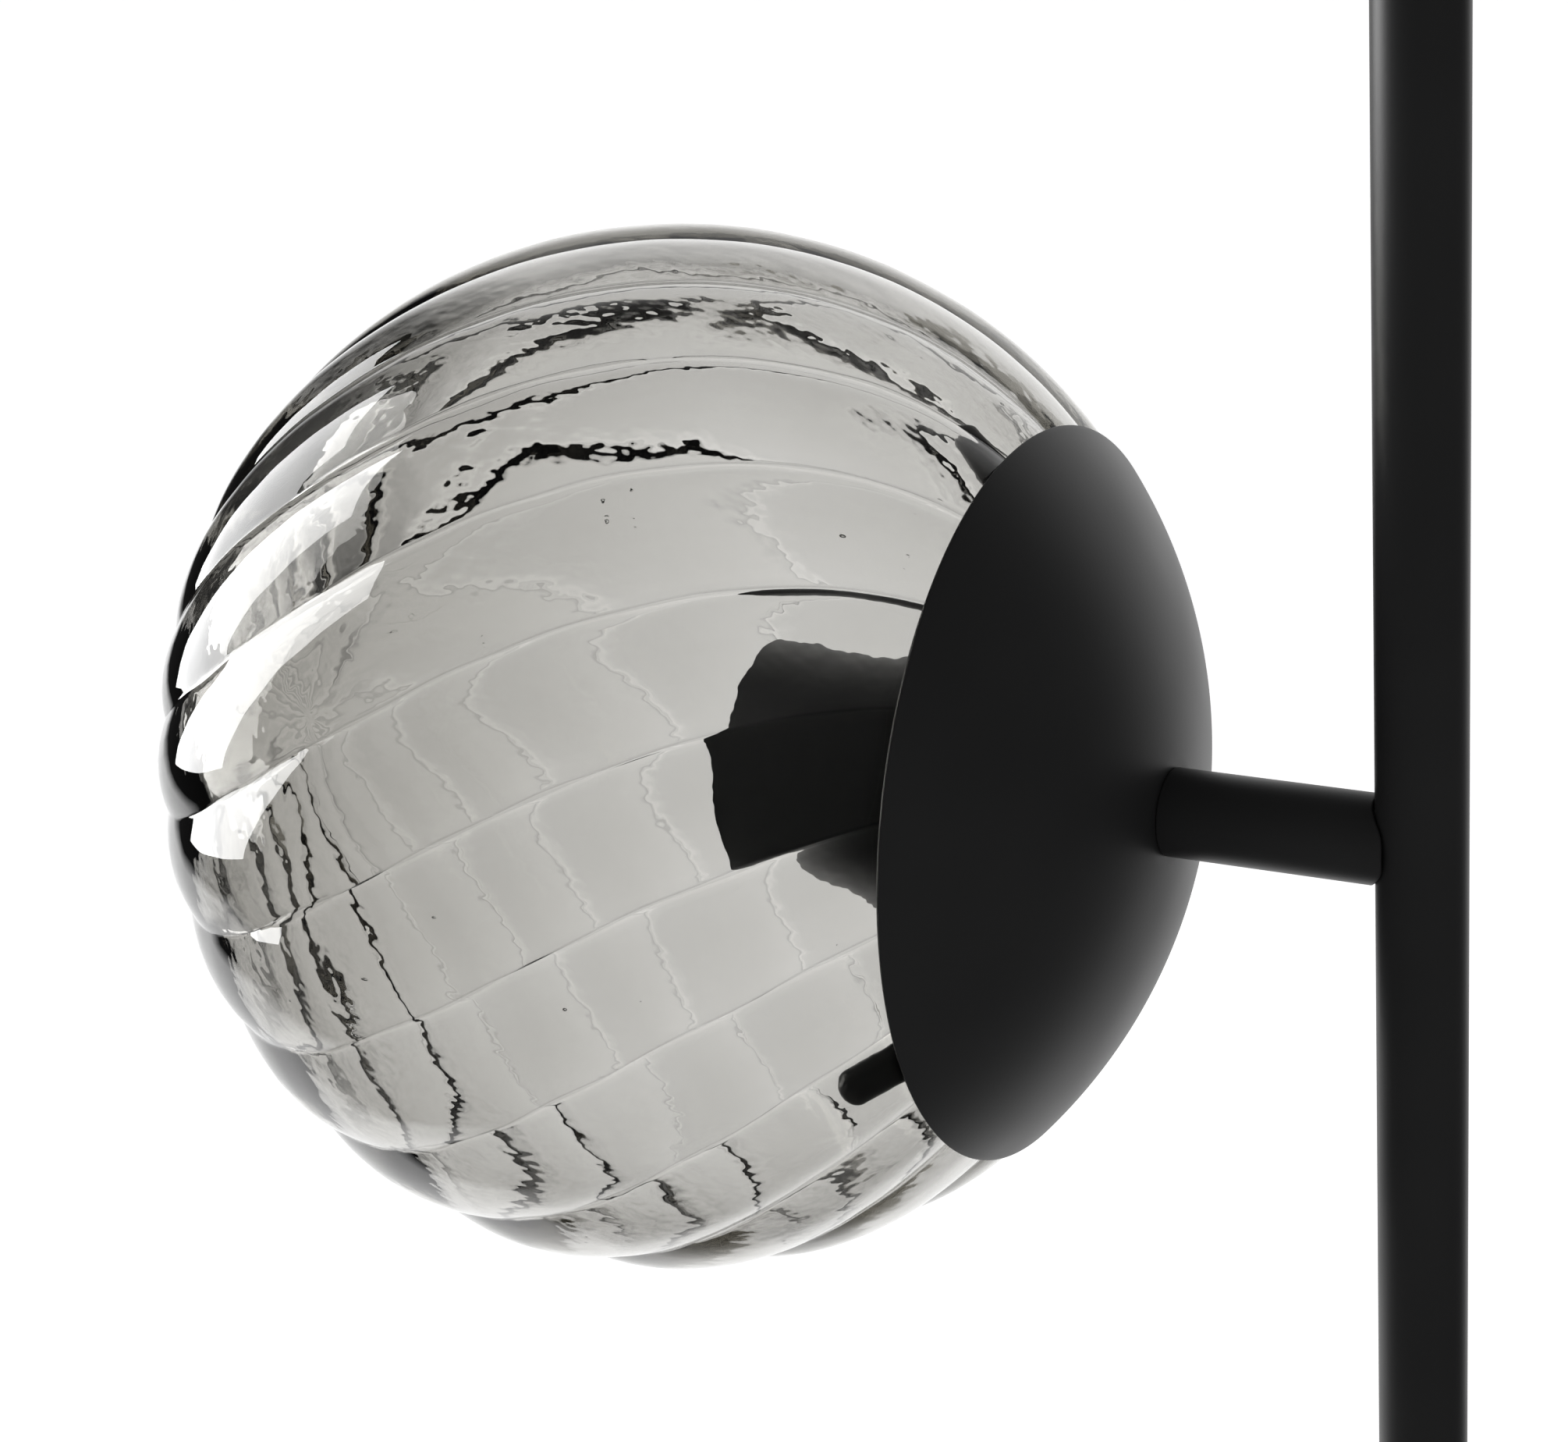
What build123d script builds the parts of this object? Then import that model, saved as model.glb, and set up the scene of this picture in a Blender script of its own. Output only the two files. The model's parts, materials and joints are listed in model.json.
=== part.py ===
from build123d import *
from math import acos, cos, degrees, pi, radians, sin, sqrt
import os

# Globe floor lamp: a slim black post on a round weighted base, one short arm, a
# domed cup and a smoked glass globe with twisted ribs. Millimetres, +Z up, origin
# on the floor at the centre of the base. The arm points along -X.

# ---- Driving sizes ---------------------------------------------------------
# Glass globe
GLOBE_RADIUS = 75.0  # over the crests of the ribs
GLOBE_WALL = 3.2  # crest to inside
GLOBE_RIBS = 21
GROOVE_DEPTH = 1.6
GROOVE_FADE_RADIUS = 25.0  # the grooves run out towards the closed end
RIB_TWIST = 0.45  # degrees of turn per mm along the arm's line
RIB_PHASE = 153.3  # angle of one groove at the globe's middle, up from the back
RIB_STATIONS = 11  # cross-sections between the mouth and the closed end
RIB_END_ANGLE = 174.0  # where the last cross-section lies
MOUTH_RADIUS = 44.3  # outer edge of the ground mouth
GLOBE_REACH = 110.7  # post's centre to globe's centre

# Cup
CUP_CLEARANCE = 0.3
CUP_WALL = 0.7
CUP_RIM_RADIUS = 50.8
CUP_SEAT_MARGIN = 0.9  # pressed flat past the arm that stands on it

# Tubes
POST_DIAMETER = 12.2
POST_WALL = 1.0
ARM_DIAMETER = 12.2
ARM_BORE_CLEARANCE = 0.15  # round the stud
ARM_SHADOW_GAP = 0.25  # between the arm's hollowed end and the post
ARM_END_ROUND = 0.4

# Hollow threaded studs, M8 x 1
STUD_DIAMETER = 8.0
STUD_BORE = 6.0
THREAD_CLEARANCE = 0.05
STUD_STANDOUT = 6.0  # past the lock nut, into the lampholder
BUSH_LENGTH = 12.0
BUSH_RECESS = 0.2  # from the end of its tube

# Heights
SECTION_LENGTH = 493.0
SECTION_COUNT = 3
ARM_BELOW_TOP = 146.0
CAP_HEIGHT = 2.0
CAP_PLUG_LENGTH = 8.0

# Stack inside the cup
WASHER_THICKNESS = 1.0
WASHER_INSET = 0.25  # from the edge of the cup's pressed flat
SPRING_THICKNESS = 0.8
SPRING_HUB_RADIUS = 11.0
SPRING_WIDTH = 3.0
LEG_KNEE_DROP = 1.0  # from the hub's face, level with the lampholder's can
LEG_SHOULDER_ANGLE = 23.6
LEG_CUP_GAP = 2.8
LEG_MOUTH_GAP = 2.5  # inside the globe's ground mouth
PRONG_COUNT = 3
PRONG_FIRST_ANGLE = 90.0
PRONG_GLASS_GAP = 0.5
PRONG_REACH = 13.5  # along the glass, from its mouth to the prong's tip
SLEEVE_DIAMETER = 4.0
SLEEVE_LENGTH = 10.0
NUT_THICKNESS = 3.0
NUT_ACROSS_FLATS = 13.0

# Lampholder
HOLDER_CAN_RADIUS = 17.15
HOLDER_CAN_WALL = 0.8
HOLDER_CAN_LENGTH = 56.0
HOLDER_RADIUS = 14.0
HOLDER_RECESS = 2.0
HOLDER_DOME_LENGTH = 17.0
HOLDER_DOME_WALL = 2.0
HOLDER_DOME_BACK = 6.0
HOLDER_MOUTH_RADIUS = 10.0
HOLDER_MOUTH_DEPTH = 4.0
SHELL_RADIUS = 7.0  # inside, for an E14 cap
SHELL_WALL = 0.4
SHELL_LENGTH = 20.0
SHELL_CLEARANCE = 0.05
CONTACT_ROOM = 5.0  # from the shell's inner end to the floor of the holder
CONTACT_WIDTH = 4.0
CONTACT_THICKNESS = 0.4
PIN_RADIUS = 0.8
TERMINAL_SIZE = 5.0
TERMINAL_HEIGHT = 5.0
TERMINAL_OFFSET = 7.5
TERMINAL_SCREW_RADIUS = 1.25
TERMINAL_SCREW_LENGTH = 3.0
GRUB_RADIUS = 1.5
GRUB_LENGTH = 4.0

# Leads
LEAD_DIAMETER = 1.8
LEAD_OFFSET = 1.2
LEAD_BEND = 5.0
LEAD_FOOT_BEND = 3.0
LEAD_JOG_BEND = 4.0
LEAD_TERMINAL_RUN = 2.0
LEAD_END_BEND = 2.0

# Base
BASE_RADIUS = 125.0
BASE_SHEET = 1.0
BASE_EDGE_ROUND = 4.0
BASE_SKIRT_GAP = 1.5  # skirt's lower edge above the floor
PAD_MARGIN = 2.0  # past the weight's edge
PAD_THICKNESS = 2.0
WEIGHT_SKIRT_GAP = 8.0  # inside the cover's skirt
WEIGHT_THICKNESS = 14.0
POCKET_RADIUS = 22.0
POCKET_DEPTH = 9.0
FOOT_WASHER_RADIUS = 18.0
FOOT_WASHER_THICKNESS = 1.2
FOOT_NUT_THICKNESS = 3.5
EARTH_TAG_THICKNESS = 0.6
EARTH_TAG_RADIUS = 6.5
EARTH_TAG_REACH = 14.0
EARTH_TAG_WIDTH = 4.0
BLOCK_POLES = 3
BLOCK_PITCH = 6.0
BLOCK_DEPTH = 12.0
BLOCK_HEIGHT = 7.0
BLOCK_DISTANCE = 30.0  # post's centre to the block's near face
BLOCK_POCKET_MARGIN = 2.0
BLOCK_LEAD_ROOM = 13.0  # of the pocket, in front of the block
BLOCK_SCREW_RADIUS = 1.5
BLOCK_SCREW_LENGTH = 1.5  # below the block
INLET_NECK_LENGTH = 3.0
CHANNEL_WIDTH = 9.0
INLET_BORE = 6.5
INLET_NECK_RADIUS = 4.6
INLET_FLANGE_RADIUS = 6.0
INLET_FLANGE_THICKNESS = 2.0
INLET_CLEARANCE = 0.1

# ---- Worked out ------------------------------------------------------------
cup_inner = GLOBE_RADIUS + CUP_CLEARANCE
cup_outer = cup_inner + CUP_WALL
post_radius = POST_DIAMETER / 2
post_bore = post_radius - POST_WALL
arm_radius = ARM_DIAMETER / 2
cup_seat_radius = arm_radius + CUP_SEAT_MARGIN
stud_radius = STUD_DIAMETER / 2
thread_bore = stud_radius + THREAD_CLEARANCE

weight_radius = BASE_RADIUS - BASE_SHEET - WEIGHT_SKIRT_GAP
weight_top = PAD_THICKNESS + WEIGHT_THICKNESS
base_top = weight_top + BASE_SHEET
post_top = base_top + SECTION_COUNT * SECTION_LENGTH
arm_height = post_top - ARM_BELOW_TOP
globe_x = -GLOBE_REACH

# Places along the arm's line are measured from the globe's centre, positive
# towards the post: these run from the arm down to the lamp's mouth.
cup_seat = sqrt(cup_outer**2 - cup_seat_radius**2)
cup_floor = cup_seat - CUP_WALL
washer_floor = cup_floor - WASHER_THICKNESS
spring_floor = washer_floor - SPRING_THICKNESS
nut_floor = spring_floor - NUT_THICKNESS
can_floor = nut_floor - HOLDER_CAN_WALL
can_mouth = nut_floor - HOLDER_CAN_LENGTH
stud_end = nut_floor - STUD_STANDOUT
holder_mouth = can_mouth + HOLDER_RECESS
dome_front = can_floor - HOLDER_DOME_LENGTH
shell_mouth = holder_mouth + HOLDER_MOUTH_DEPTH
shell_inner_end = shell_mouth + SHELL_LENGTH
holder_floor = shell_inner_end + CONTACT_ROOM
cup_rim = sqrt(cup_outer**2 - CUP_RIM_RADIUS**2)
mouth = sqrt(GLOBE_RADIUS**2 - MOUTH_RADIUS**2)
mouth_inner_radius = sqrt((GLOBE_RADIUS - GLOBE_WALL) ** 2 - mouth**2)

# The head's own plane: x along the arm's line, y up, from the globe's centre.
head = Plane(origin=(globe_x, 0, arm_height), x_dir=(1, 0, 0), z_dir=(0, -1, 0))
arm_line = Axis((globe_x, 0, arm_height), (1, 0, 0))


def across(place):
    """A plane across the arm's line, facing the post: x to the back, y up."""
    return Plane(
        origin=(globe_x + place, 0, arm_height), x_dir=(0, 1, 0), z_dir=(1, 0, 0)
    )


def polar(radius, angle):
    return (radius * cos(radians(angle)), radius * sin(radians(angle)))


def save(part, label):
    part.label = label
    export_step(part, f"parts/{label}.step")
    print(f"{label:18s} solids {len(part.solids()):2d} volume {part.volume:11.1f}")


os.makedirs("parts", exist_ok=True)


# ---- Glass globe -----------------------------------------------------------
# Blown in a ribbed mould and turned as it leaves it: every cross-section is a
# ring of round ribs that meet in sharp grooves, and it turns steadily.
def groove_depth(ring_radius):
    return GROOVE_DEPTH * min(1.0, ring_radius / GROOVE_FADE_RADIUS)


mouth_angle = degrees(acos(mouth / GLOBE_RADIUS))
station_step = (RIB_END_ANGLE - mouth_angle) / (RIB_STATIONS + 1)
rib_step = 360.0 / GLOBE_RIBS
closed_end = GLOBE_RADIUS * cos(radians(RIB_END_ANGLE))
closed_end_ring = GLOBE_RADIUS * sin(radians(RIB_END_ANGLE))

with BuildPart() as glass_globe:
    for station in range(RIB_STATIONS + 2):
        station_angle = mouth_angle + station * station_step
        station_x, crest = polar(GLOBE_RADIUS, station_angle)
        groove = crest - groove_depth(crest)
        with BuildSketch(across(station_x)):
            with BuildLine():
                for rib in range(GLOBE_RIBS):
                    start = RIB_PHASE - RIB_TWIST * station_x + rib * rib_step
                    ThreePointArc(
                        polar(groove, start),
                        polar(crest, start + rib_step / 2),
                        polar(groove, start + rib_step),
                    )
            make_face()
    loft()
    with BuildSketch(head):
        with BuildLine():
            ThreePointArc(
                (closed_end, closed_end_ring),
                polar(GLOBE_RADIUS, (RIB_END_ANGLE + 180) / 2),
                (-GLOBE_RADIUS, 0),
            )
            Polyline((-GLOBE_RADIUS, 0), (closed_end, 0), (closed_end, closed_end_ring))
        make_face()
    revolve(axis=arm_line)
    with Locations((globe_x, 0, arm_height)):
        Sphere(GLOBE_RADIUS - GLOBE_WALL, mode=Mode.SUBTRACT)
save(glass_globe.part, "glass_globe")

# ---- Cup: a pressed dome that follows the globe, with a flat for the arm -----
with BuildPart() as cup_shell:
    with BuildSketch(head):
        rim_inner = polar(cup_inner, degrees(acos(cup_rim / cup_inner)))
        floor_corner = (cup_floor, sqrt(cup_inner**2 - cup_floor**2))
        middle = degrees(cup_seat_radius + CUP_RIM_RADIUS) / 2 / cup_outer
        with BuildLine():
            ThreePointArc(
                (cup_rim, CUP_RIM_RADIUS),
                polar(cup_outer, middle),
                (cup_seat, cup_seat_radius),
            )
            Polyline(
                (cup_seat, cup_seat_radius),
                (cup_seat, thread_bore),
                (cup_floor, thread_bore),
                floor_corner,
            )
            ThreePointArc(floor_corner, polar(cup_inner, middle), rim_inner)
            Line(rim_inner, (cup_rim, CUP_RIM_RADIUS))
        make_face()
    revolve(axis=arm_line)
save(cup_shell.part, "cup_shell")

# ---- Arm: a plain tube, hollowed at one end to sit round the post ------------
with BuildPart() as arm_tube:
    with BuildSketch(across(cup_seat)):
        Circle(arm_radius)
        Circle(stud_radius + ARM_BORE_CLEARANCE, mode=Mode.SUBTRACT)
    extrude(amount=GLOBE_REACH - cup_seat)
    with BuildSketch(Plane.XY.offset(arm_height - ARM_DIAMETER)):
        Circle(post_radius + ARM_SHADOW_GAP)
    extrude(amount=2 * ARM_DIAMETER, mode=Mode.SUBTRACT)
    seat_edges = arm_tube.edges().group_by(Axis.X)[0].filter_by(GeomType.CIRCLE)
    fillet(seat_edges.sort_by(SortBy.RADIUS)[-1], ARM_END_ROUND)
save(arm_tube.part, "arm_tube")

# ---- Arm stud: hollow, brazed into the post, carries everything on the arm ---
# Its end follows the post's bore, so that nothing of it stands in the leads' way.
with BuildPart() as arm_stud:
    with BuildSketch(across(stud_end)):
        Circle(stud_radius)
        Circle(STUD_BORE / 2, mode=Mode.SUBTRACT)
    extrude(amount=GLOBE_REACH - stud_end)
    with BuildSketch(Plane.XY.offset(arm_height - STUD_DIAMETER)):
        Circle(post_bore)
    extrude(amount=2 * STUD_DIAMETER, mode=Mode.SUBTRACT)
save(arm_stud.part, "arm_stud")

# ---- Clamping stack inside the cup ------------------------------------------
with BuildPart() as cup_washer:
    with BuildSketch(across(washer_floor)):
        Circle(cup_seat_radius - WASHER_INSET)
        Circle(thread_bore, mode=Mode.SUBTRACT)
    extrude(amount=WASHER_THICKNESS)
save(cup_washer.part, "cup_washer")

with BuildPart() as stud_nut:
    with BuildSketch(across(nut_floor)):
        RegularPolygon(NUT_ACROSS_FLATS / 2, 6, major_radius=False)
        Circle(thread_bore, mode=Mode.SUBTRACT)
    extrude(amount=NUT_THICKNESS)
save(stud_nut.part, "stud_nut")

# Three-legged spring: its legs run out past the lampholder, through the globe's
# mouth, and flare behind the glass, so the globe is pushed on and pulled off.
tip_radius = GLOBE_RADIUS - GLOBE_WALL - SLEEVE_DIAMETER / 2 - PRONG_GLASS_GAP
tip = polar(tip_radius, mouth_angle + degrees(PRONG_REACH / GLOBE_RADIUS))
waist = (mouth, mouth_inner_radius - LEG_MOUTH_GAP)
shoulder = polar(cup_inner - LEG_CUP_GAP, LEG_SHOULDER_ANGLE)
knee = (spring_floor - LEG_KNEE_DROP, HOLDER_CAN_RADIUS)
hub_edge = (spring_floor + SPRING_THICKNESS / 2, SPRING_HUB_RADIUS - SPRING_WIDTH / 2)
flare = Vector(*tip) - Vector(*waist)
sleeve_start = Vector(*tip) - flare.normalized() * (SLEEVE_LENGTH - SLEEVE_DIAMETER / 2)
prong_step = 360.0 / PRONG_COUNT
leg_planes = [
    head.rotated((PRONG_FIRST_ANGLE + i * prong_step - 90, 0, 0)) for i in range(PRONG_COUNT)
]

with BuildPart() as prong_spring:
    with BuildSketch(across(spring_floor)):
        Circle(SPRING_HUB_RADIUS)
        Circle(thread_bore, mode=Mode.SUBTRACT)
    extrude(amount=SPRING_THICKNESS)
    for leg_plane in leg_planes:
        with BuildSketch(leg_plane):
            with BuildLine() as leg:
                Polyline(hub_edge, knee, shoulder, waist, tip)
            trace(leg.line, line_width=SPRING_THICKNESS)
        extrude(amount=SPRING_WIDTH / 2, both=True)
save(prong_spring.part, "prong_spring")

with BuildPart() as prong_sleeves:
    for leg_plane in leg_planes:
        start_point = leg_plane.from_local_coords(sleeve_start)
        tip_point = leg_plane.from_local_coords(Vector(*tip))
        along = Plane(origin=start_point, z_dir=tip_point - start_point)
        with BuildSketch(along):
            Circle(SLEEVE_DIAMETER / 2)
        extrude(amount=(tip_point - start_point).length)
        with Locations(tip_point):
            Sphere(SLEEVE_DIAMETER / 2)
    add(prong_spring.part, mode=Mode.SUBTRACT)
save(prong_sleeves.part, "prong_sleeves")

# ---- Lampholder --------------------------------------------------------------
with BuildPart() as holder_can:
    with BuildSketch(across(can_mouth)):
        Circle(HOLDER_CAN_RADIUS)
    extrude(amount=HOLDER_CAN_LENGTH)
    with BuildSketch(across(can_mouth)):
        Circle(HOLDER_CAN_RADIUS - HOLDER_CAN_WALL)
    extrude(amount=HOLDER_CAN_LENGTH - HOLDER_CAN_WALL, mode=Mode.SUBTRACT)
    with BuildSketch(across(can_floor)):
        Circle(thread_bore)
    extrude(amount=HOLDER_CAN_WALL, mode=Mode.SUBTRACT)
save(holder_can.part, "holder_can")

# Dome: the holder's back half, screwed on the stud and locked by a grub screw.
grub_place = can_floor - HOLDER_DOME_BACK / 2
with BuildPart() as holder_dome:
    with BuildSketch(across(dome_front)):
        Circle(HOLDER_RADIUS)
    extrude(amount=HOLDER_DOME_LENGTH)
    with BuildSketch(across(dome_front)):
        Circle(HOLDER_RADIUS - HOLDER_DOME_WALL)
    extrude(amount=HOLDER_DOME_LENGTH - HOLDER_DOME_BACK, mode=Mode.SUBTRACT)
    with BuildSketch(across(dome_front)):
        Circle(thread_bore)
    extrude(amount=HOLDER_DOME_LENGTH, mode=Mode.SUBTRACT)
    with BuildSketch(Plane.XY.offset(arm_height)):
        with Locations((globe_x + grub_place, 0)):
            Circle(GRUB_RADIUS + THREAD_CLEARANCE)
    extrude(amount=HOLDER_RADIUS, mode=Mode.SUBTRACT)
save(holder_dome.part, "holder_dome")

with BuildPart() as grub_screw:
    with BuildSketch(Plane.XY.offset(arm_height + stud_radius)):
        with Locations((globe_x + grub_place, 0)):
            Circle(GRUB_RADIUS)
    extrude(amount=GRUB_LENGTH)
save(grub_screw.part, "grub_screw")

# Body: the front half, with the thread shell in its bore and terminals behind.
shell_outer = SHELL_RADIUS + SHELL_WALL
shell_pin = SHELL_RADIUS + SHELL_WALL / 2
contact_foot = -SHELL_RADIUS + SHELL_CLEARANCE + PIN_RADIUS
contact_pin = contact_foot + PIN_RADIUS
with BuildPart() as holder_body:
    with BuildSketch(across(holder_mouth)):
        Circle(HOLDER_RADIUS)
    extrude(amount=dome_front - holder_mouth)
    with BuildSketch(across(holder_mouth)):
        Circle(HOLDER_MOUTH_RADIUS)
    extrude(amount=HOLDER_MOUTH_DEPTH, mode=Mode.SUBTRACT)
    with BuildSketch(across(holder_mouth)):
        Circle(shell_outer + SHELL_CLEARANCE)
    extrude(amount=holder_floor - holder_mouth, mode=Mode.SUBTRACT)
    with BuildSketch(across(shell_inner_end)):
        with Locations((0, shell_pin), (0, contact_pin)):
            Circle(PIN_RADIUS + SHELL_CLEARANCE)
    extrude(amount=dome_front - shell_inner_end, mode=Mode.SUBTRACT)
save(holder_body.part, "holder_body")

# Two brass pins carry the current from the terminals to the shell and the tongue.
with BuildPart() as contact_pins:
    with BuildSketch(across(shell_inner_end)):
        with Locations((0, shell_pin)):
            Circle(PIN_RADIUS)
    extrude(amount=dome_front - shell_inner_end)
    with BuildSketch(across(holder_floor)):
        with Locations((0, contact_pin)):
            Circle(PIN_RADIUS)
    extrude(amount=dome_front - holder_floor)
save(contact_pins.part, "contact_pins")

with BuildPart() as thread_shell:
    with BuildSketch(across(shell_mouth)):
        Circle(shell_outer)
        Circle(SHELL_RADIUS, mode=Mode.SUBTRACT)
    extrude(amount=SHELL_LENGTH)
save(thread_shell.part, "thread_shell")

# Centre contact: a spring tongue that rises from the floor to meet the cap.
with BuildPart() as centre_contact:
    with BuildSketch(head):
        with BuildLine() as tongue:
            foot = holder_floor - CONTACT_THICKNESS / 2
            Polyline(
                (foot, contact_foot),
                (foot, -contact_pin),
                (shell_inner_end, 0),
            )
        trace(tongue.line, line_width=CONTACT_THICKNESS)
    extrude(amount=CONTACT_WIDTH / 2, both=True)
save(centre_contact.part, "centre_contact")

# Terminals stand on the back of the body, inside the dome, with a screw each.
with BuildPart() as terminals:
    with BuildSketch(across(dome_front)):
        with Locations((0, TERMINAL_OFFSET), (0, -TERMINAL_OFFSET)):
            Rectangle(TERMINAL_SIZE, TERMINAL_SIZE)
    extrude(amount=TERMINAL_HEIGHT)
save(terminals.part, "terminals")

terminal_middle = dome_front + TERMINAL_HEIGHT / 2
with BuildPart() as terminal_screws:
    with BuildSketch(head.offset(TERMINAL_SIZE / 2)):
        with Locations(
            (terminal_middle, TERMINAL_OFFSET), (terminal_middle, -TERMINAL_OFFSET)
        ):
            Circle(TERMINAL_SCREW_RADIUS)
    extrude(amount=TERMINAL_SCREW_LENGTH)
save(terminal_screws.part, "terminal_screws")

# ---- Post: three tubes joined by hollow studs --------------------------------
section_names = ["lower_post", "middle_post", "upper_post"]
for number, name in enumerate(section_names):
    foot_height = base_top + number * SECTION_LENGTH
    with BuildPart() as section:
        with BuildSketch(Plane.XY.offset(foot_height)):
            Circle(post_radius)
            Circle(post_bore, mode=Mode.SUBTRACT)
        extrude(amount=SECTION_LENGTH)
        if name == "upper_post":
            with BuildSketch(across(GLOBE_REACH - POST_DIAMETER)):
                Circle(thread_bore)
            extrude(amount=POST_DIAMETER, mode=Mode.SUBTRACT)
    save(section.part, name)

joint_heights = [base_top + i * SECTION_LENGTH for i in range(1, SECTION_COUNT)]
bush_feet = [base_top + BUSH_RECESS]
for height in joint_heights:
    bush_feet += [height - BUSH_RECESS - BUSH_LENGTH, height + BUSH_RECESS]
with BuildPart() as thread_bushes:
    for height in bush_feet:
        with BuildSketch(Plane.XY.offset(height)):
            Circle(post_bore)
            Circle(thread_bore, mode=Mode.SUBTRACT)
        extrude(amount=BUSH_LENGTH)
save(thread_bushes.part, "thread_bushes")

with BuildPart() as joint_studs:
    for height in joint_heights:
        with BuildSketch(Plane.XY.offset(height - BUSH_LENGTH)):
            Circle(stud_radius)
            Circle(STUD_BORE / 2, mode=Mode.SUBTRACT)
        extrude(amount=2 * BUSH_LENGTH)
save(joint_studs.part, "joint_studs")

with BuildPart() as post_cap:
    with BuildSketch(Plane.XY.offset(post_top)):
        Circle(post_radius)
    extrude(amount=CAP_HEIGHT)
    fillet(post_cap.edges().group_by(Axis.Z)[-1], CAP_HEIGHT / 2)
    with BuildSketch(Plane.XY.offset(post_top - CAP_PLUG_LENGTH)):
        Circle(post_bore)
    extrude(amount=CAP_PLUG_LENGTH)
save(post_cap.part, "post_cap")

# ---- Base ----------------------------------------------------------------------
inlet_height = (BASE_SKIRT_GAP + base_top) / 2
with BuildPart() as base_cover:
    with BuildSketch(Plane.XY.offset(BASE_SKIRT_GAP)):
        Circle(BASE_RADIUS)
    extrude(amount=base_top - BASE_SKIRT_GAP)
    fillet(base_cover.edges().group_by(Axis.Z)[-1], BASE_EDGE_ROUND)
    offset(amount=-BASE_SHEET, openings=base_cover.faces().sort_by(Axis.Z)[0])
    with BuildSketch(Plane.XY.offset(weight_top)):
        Circle(thread_bore)
    extrude(amount=BASE_SHEET, mode=Mode.SUBTRACT)
    with BuildSketch(Plane.XZ.offset(-BASE_RADIUS)):
        with Locations((0, inlet_height)):
            Circle(INLET_NECK_RADIUS + INLET_CLEARANCE)
    extrude(amount=INLET_NECK_LENGTH, mode=Mode.SUBTRACT)
save(base_cover.part, "base_cover")

block_width = BLOCK_POLES * BLOCK_PITCH
block_middle = BLOCK_DISTANCE + BLOCK_DEPTH / 2
pocket_height = PAD_THICKNESS + POCKET_DEPTH
with BuildPart() as base_weight:
    with BuildSketch(Plane.XY.offset(PAD_THICKNESS)):
        Circle(weight_radius)
    extrude(amount=WEIGHT_THICKNESS)
    with BuildSketch(Plane.XY.offset(PAD_THICKNESS)):
        Circle(POCKET_RADIUS)
        with Locations((0, block_middle)):
            Rectangle(CHANNEL_WIDTH, weight_radius, align=(Align.CENTER, Align.MIN))
        with Locations((0, BLOCK_DISTANCE - BLOCK_LEAD_ROOM)):
            Rectangle(
                block_width + 2 * BLOCK_POCKET_MARGIN,
                BLOCK_LEAD_ROOM + BLOCK_DEPTH + BLOCK_POCKET_MARGIN,
                align=(Align.CENTER, Align.MIN),
            )
    extrude(amount=POCKET_DEPTH, mode=Mode.SUBTRACT)
    with BuildSketch(Plane.XY.offset(PAD_THICKNESS)):
        Circle(thread_bore)
    extrude(amount=WEIGHT_THICKNESS, mode=Mode.SUBTRACT)
save(base_weight.part, "base_weight")

with BuildPart() as base_pad:
    with BuildSketch(Plane.XY):
        Circle(weight_radius + PAD_MARGIN)
    extrude(amount=PAD_THICKNESS)
save(base_pad.part, "base_pad")

washer_height = pocket_height - FOOT_WASHER_THICKNESS
tag_height = washer_height - EARTH_TAG_THICKNESS
foot_nut_height = tag_height - FOOT_NUT_THICKNESS
with BuildPart() as foot_washer:
    with BuildSketch(Plane.XY.offset(washer_height)):
        Circle(FOOT_WASHER_RADIUS)
        Circle(thread_bore, mode=Mode.SUBTRACT)
    extrude(amount=FOOT_WASHER_THICKNESS)
save(foot_washer.part, "foot_washer")

with BuildPart() as earth_tag:
    with BuildSketch(Plane.XY.offset(tag_height)):
        Circle(EARTH_TAG_RADIUS)
        with Locations((0, EARTH_TAG_REACH / 2)):
            Rectangle(EARTH_TAG_WIDTH, EARTH_TAG_REACH)
        Circle(thread_bore, mode=Mode.SUBTRACT)
    extrude(amount=EARTH_TAG_THICKNESS)
save(earth_tag.part, "earth_tag")

with BuildPart() as foot_nut:
    with BuildSketch(Plane.XY.offset(foot_nut_height)):
        RegularPolygon(NUT_ACROSS_FLATS / 2, 6, major_radius=False)
        Circle(thread_bore, mode=Mode.SUBTRACT)
    extrude(amount=FOOT_NUT_THICKNESS)
save(foot_nut.part, "foot_nut")

with BuildPart() as foot_stud:
    with BuildSketch(Plane.XY.offset(foot_nut_height)):
        Circle(stud_radius)
        Circle(STUD_BORE / 2, mode=Mode.SUBTRACT)
    extrude(amount=base_top + BUSH_LENGTH - foot_nut_height)
save(foot_stud.part, "foot_stud")

with BuildPart() as terminal_block:
    with BuildSketch(Plane.XY.offset(pocket_height - BLOCK_HEIGHT)):
        with Locations((0, block_middle)):
            Rectangle(block_width, BLOCK_DEPTH)
    extrude(amount=BLOCK_HEIGHT)
save(terminal_block.part, "terminal_block")

block_floor = pocket_height - BLOCK_HEIGHT
with BuildPart() as block_screws:
    with BuildSketch(Plane.XY.offset(block_floor - BLOCK_SCREW_LENGTH)):
        with Locations((0, block_middle)):
            with GridLocations(BLOCK_PITCH, BLOCK_DEPTH / 2, BLOCK_POLES, 2):
                Circle(BLOCK_SCREW_RADIUS)
    extrude(amount=BLOCK_SCREW_LENGTH)
save(block_screws.part, "block_screws")

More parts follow.
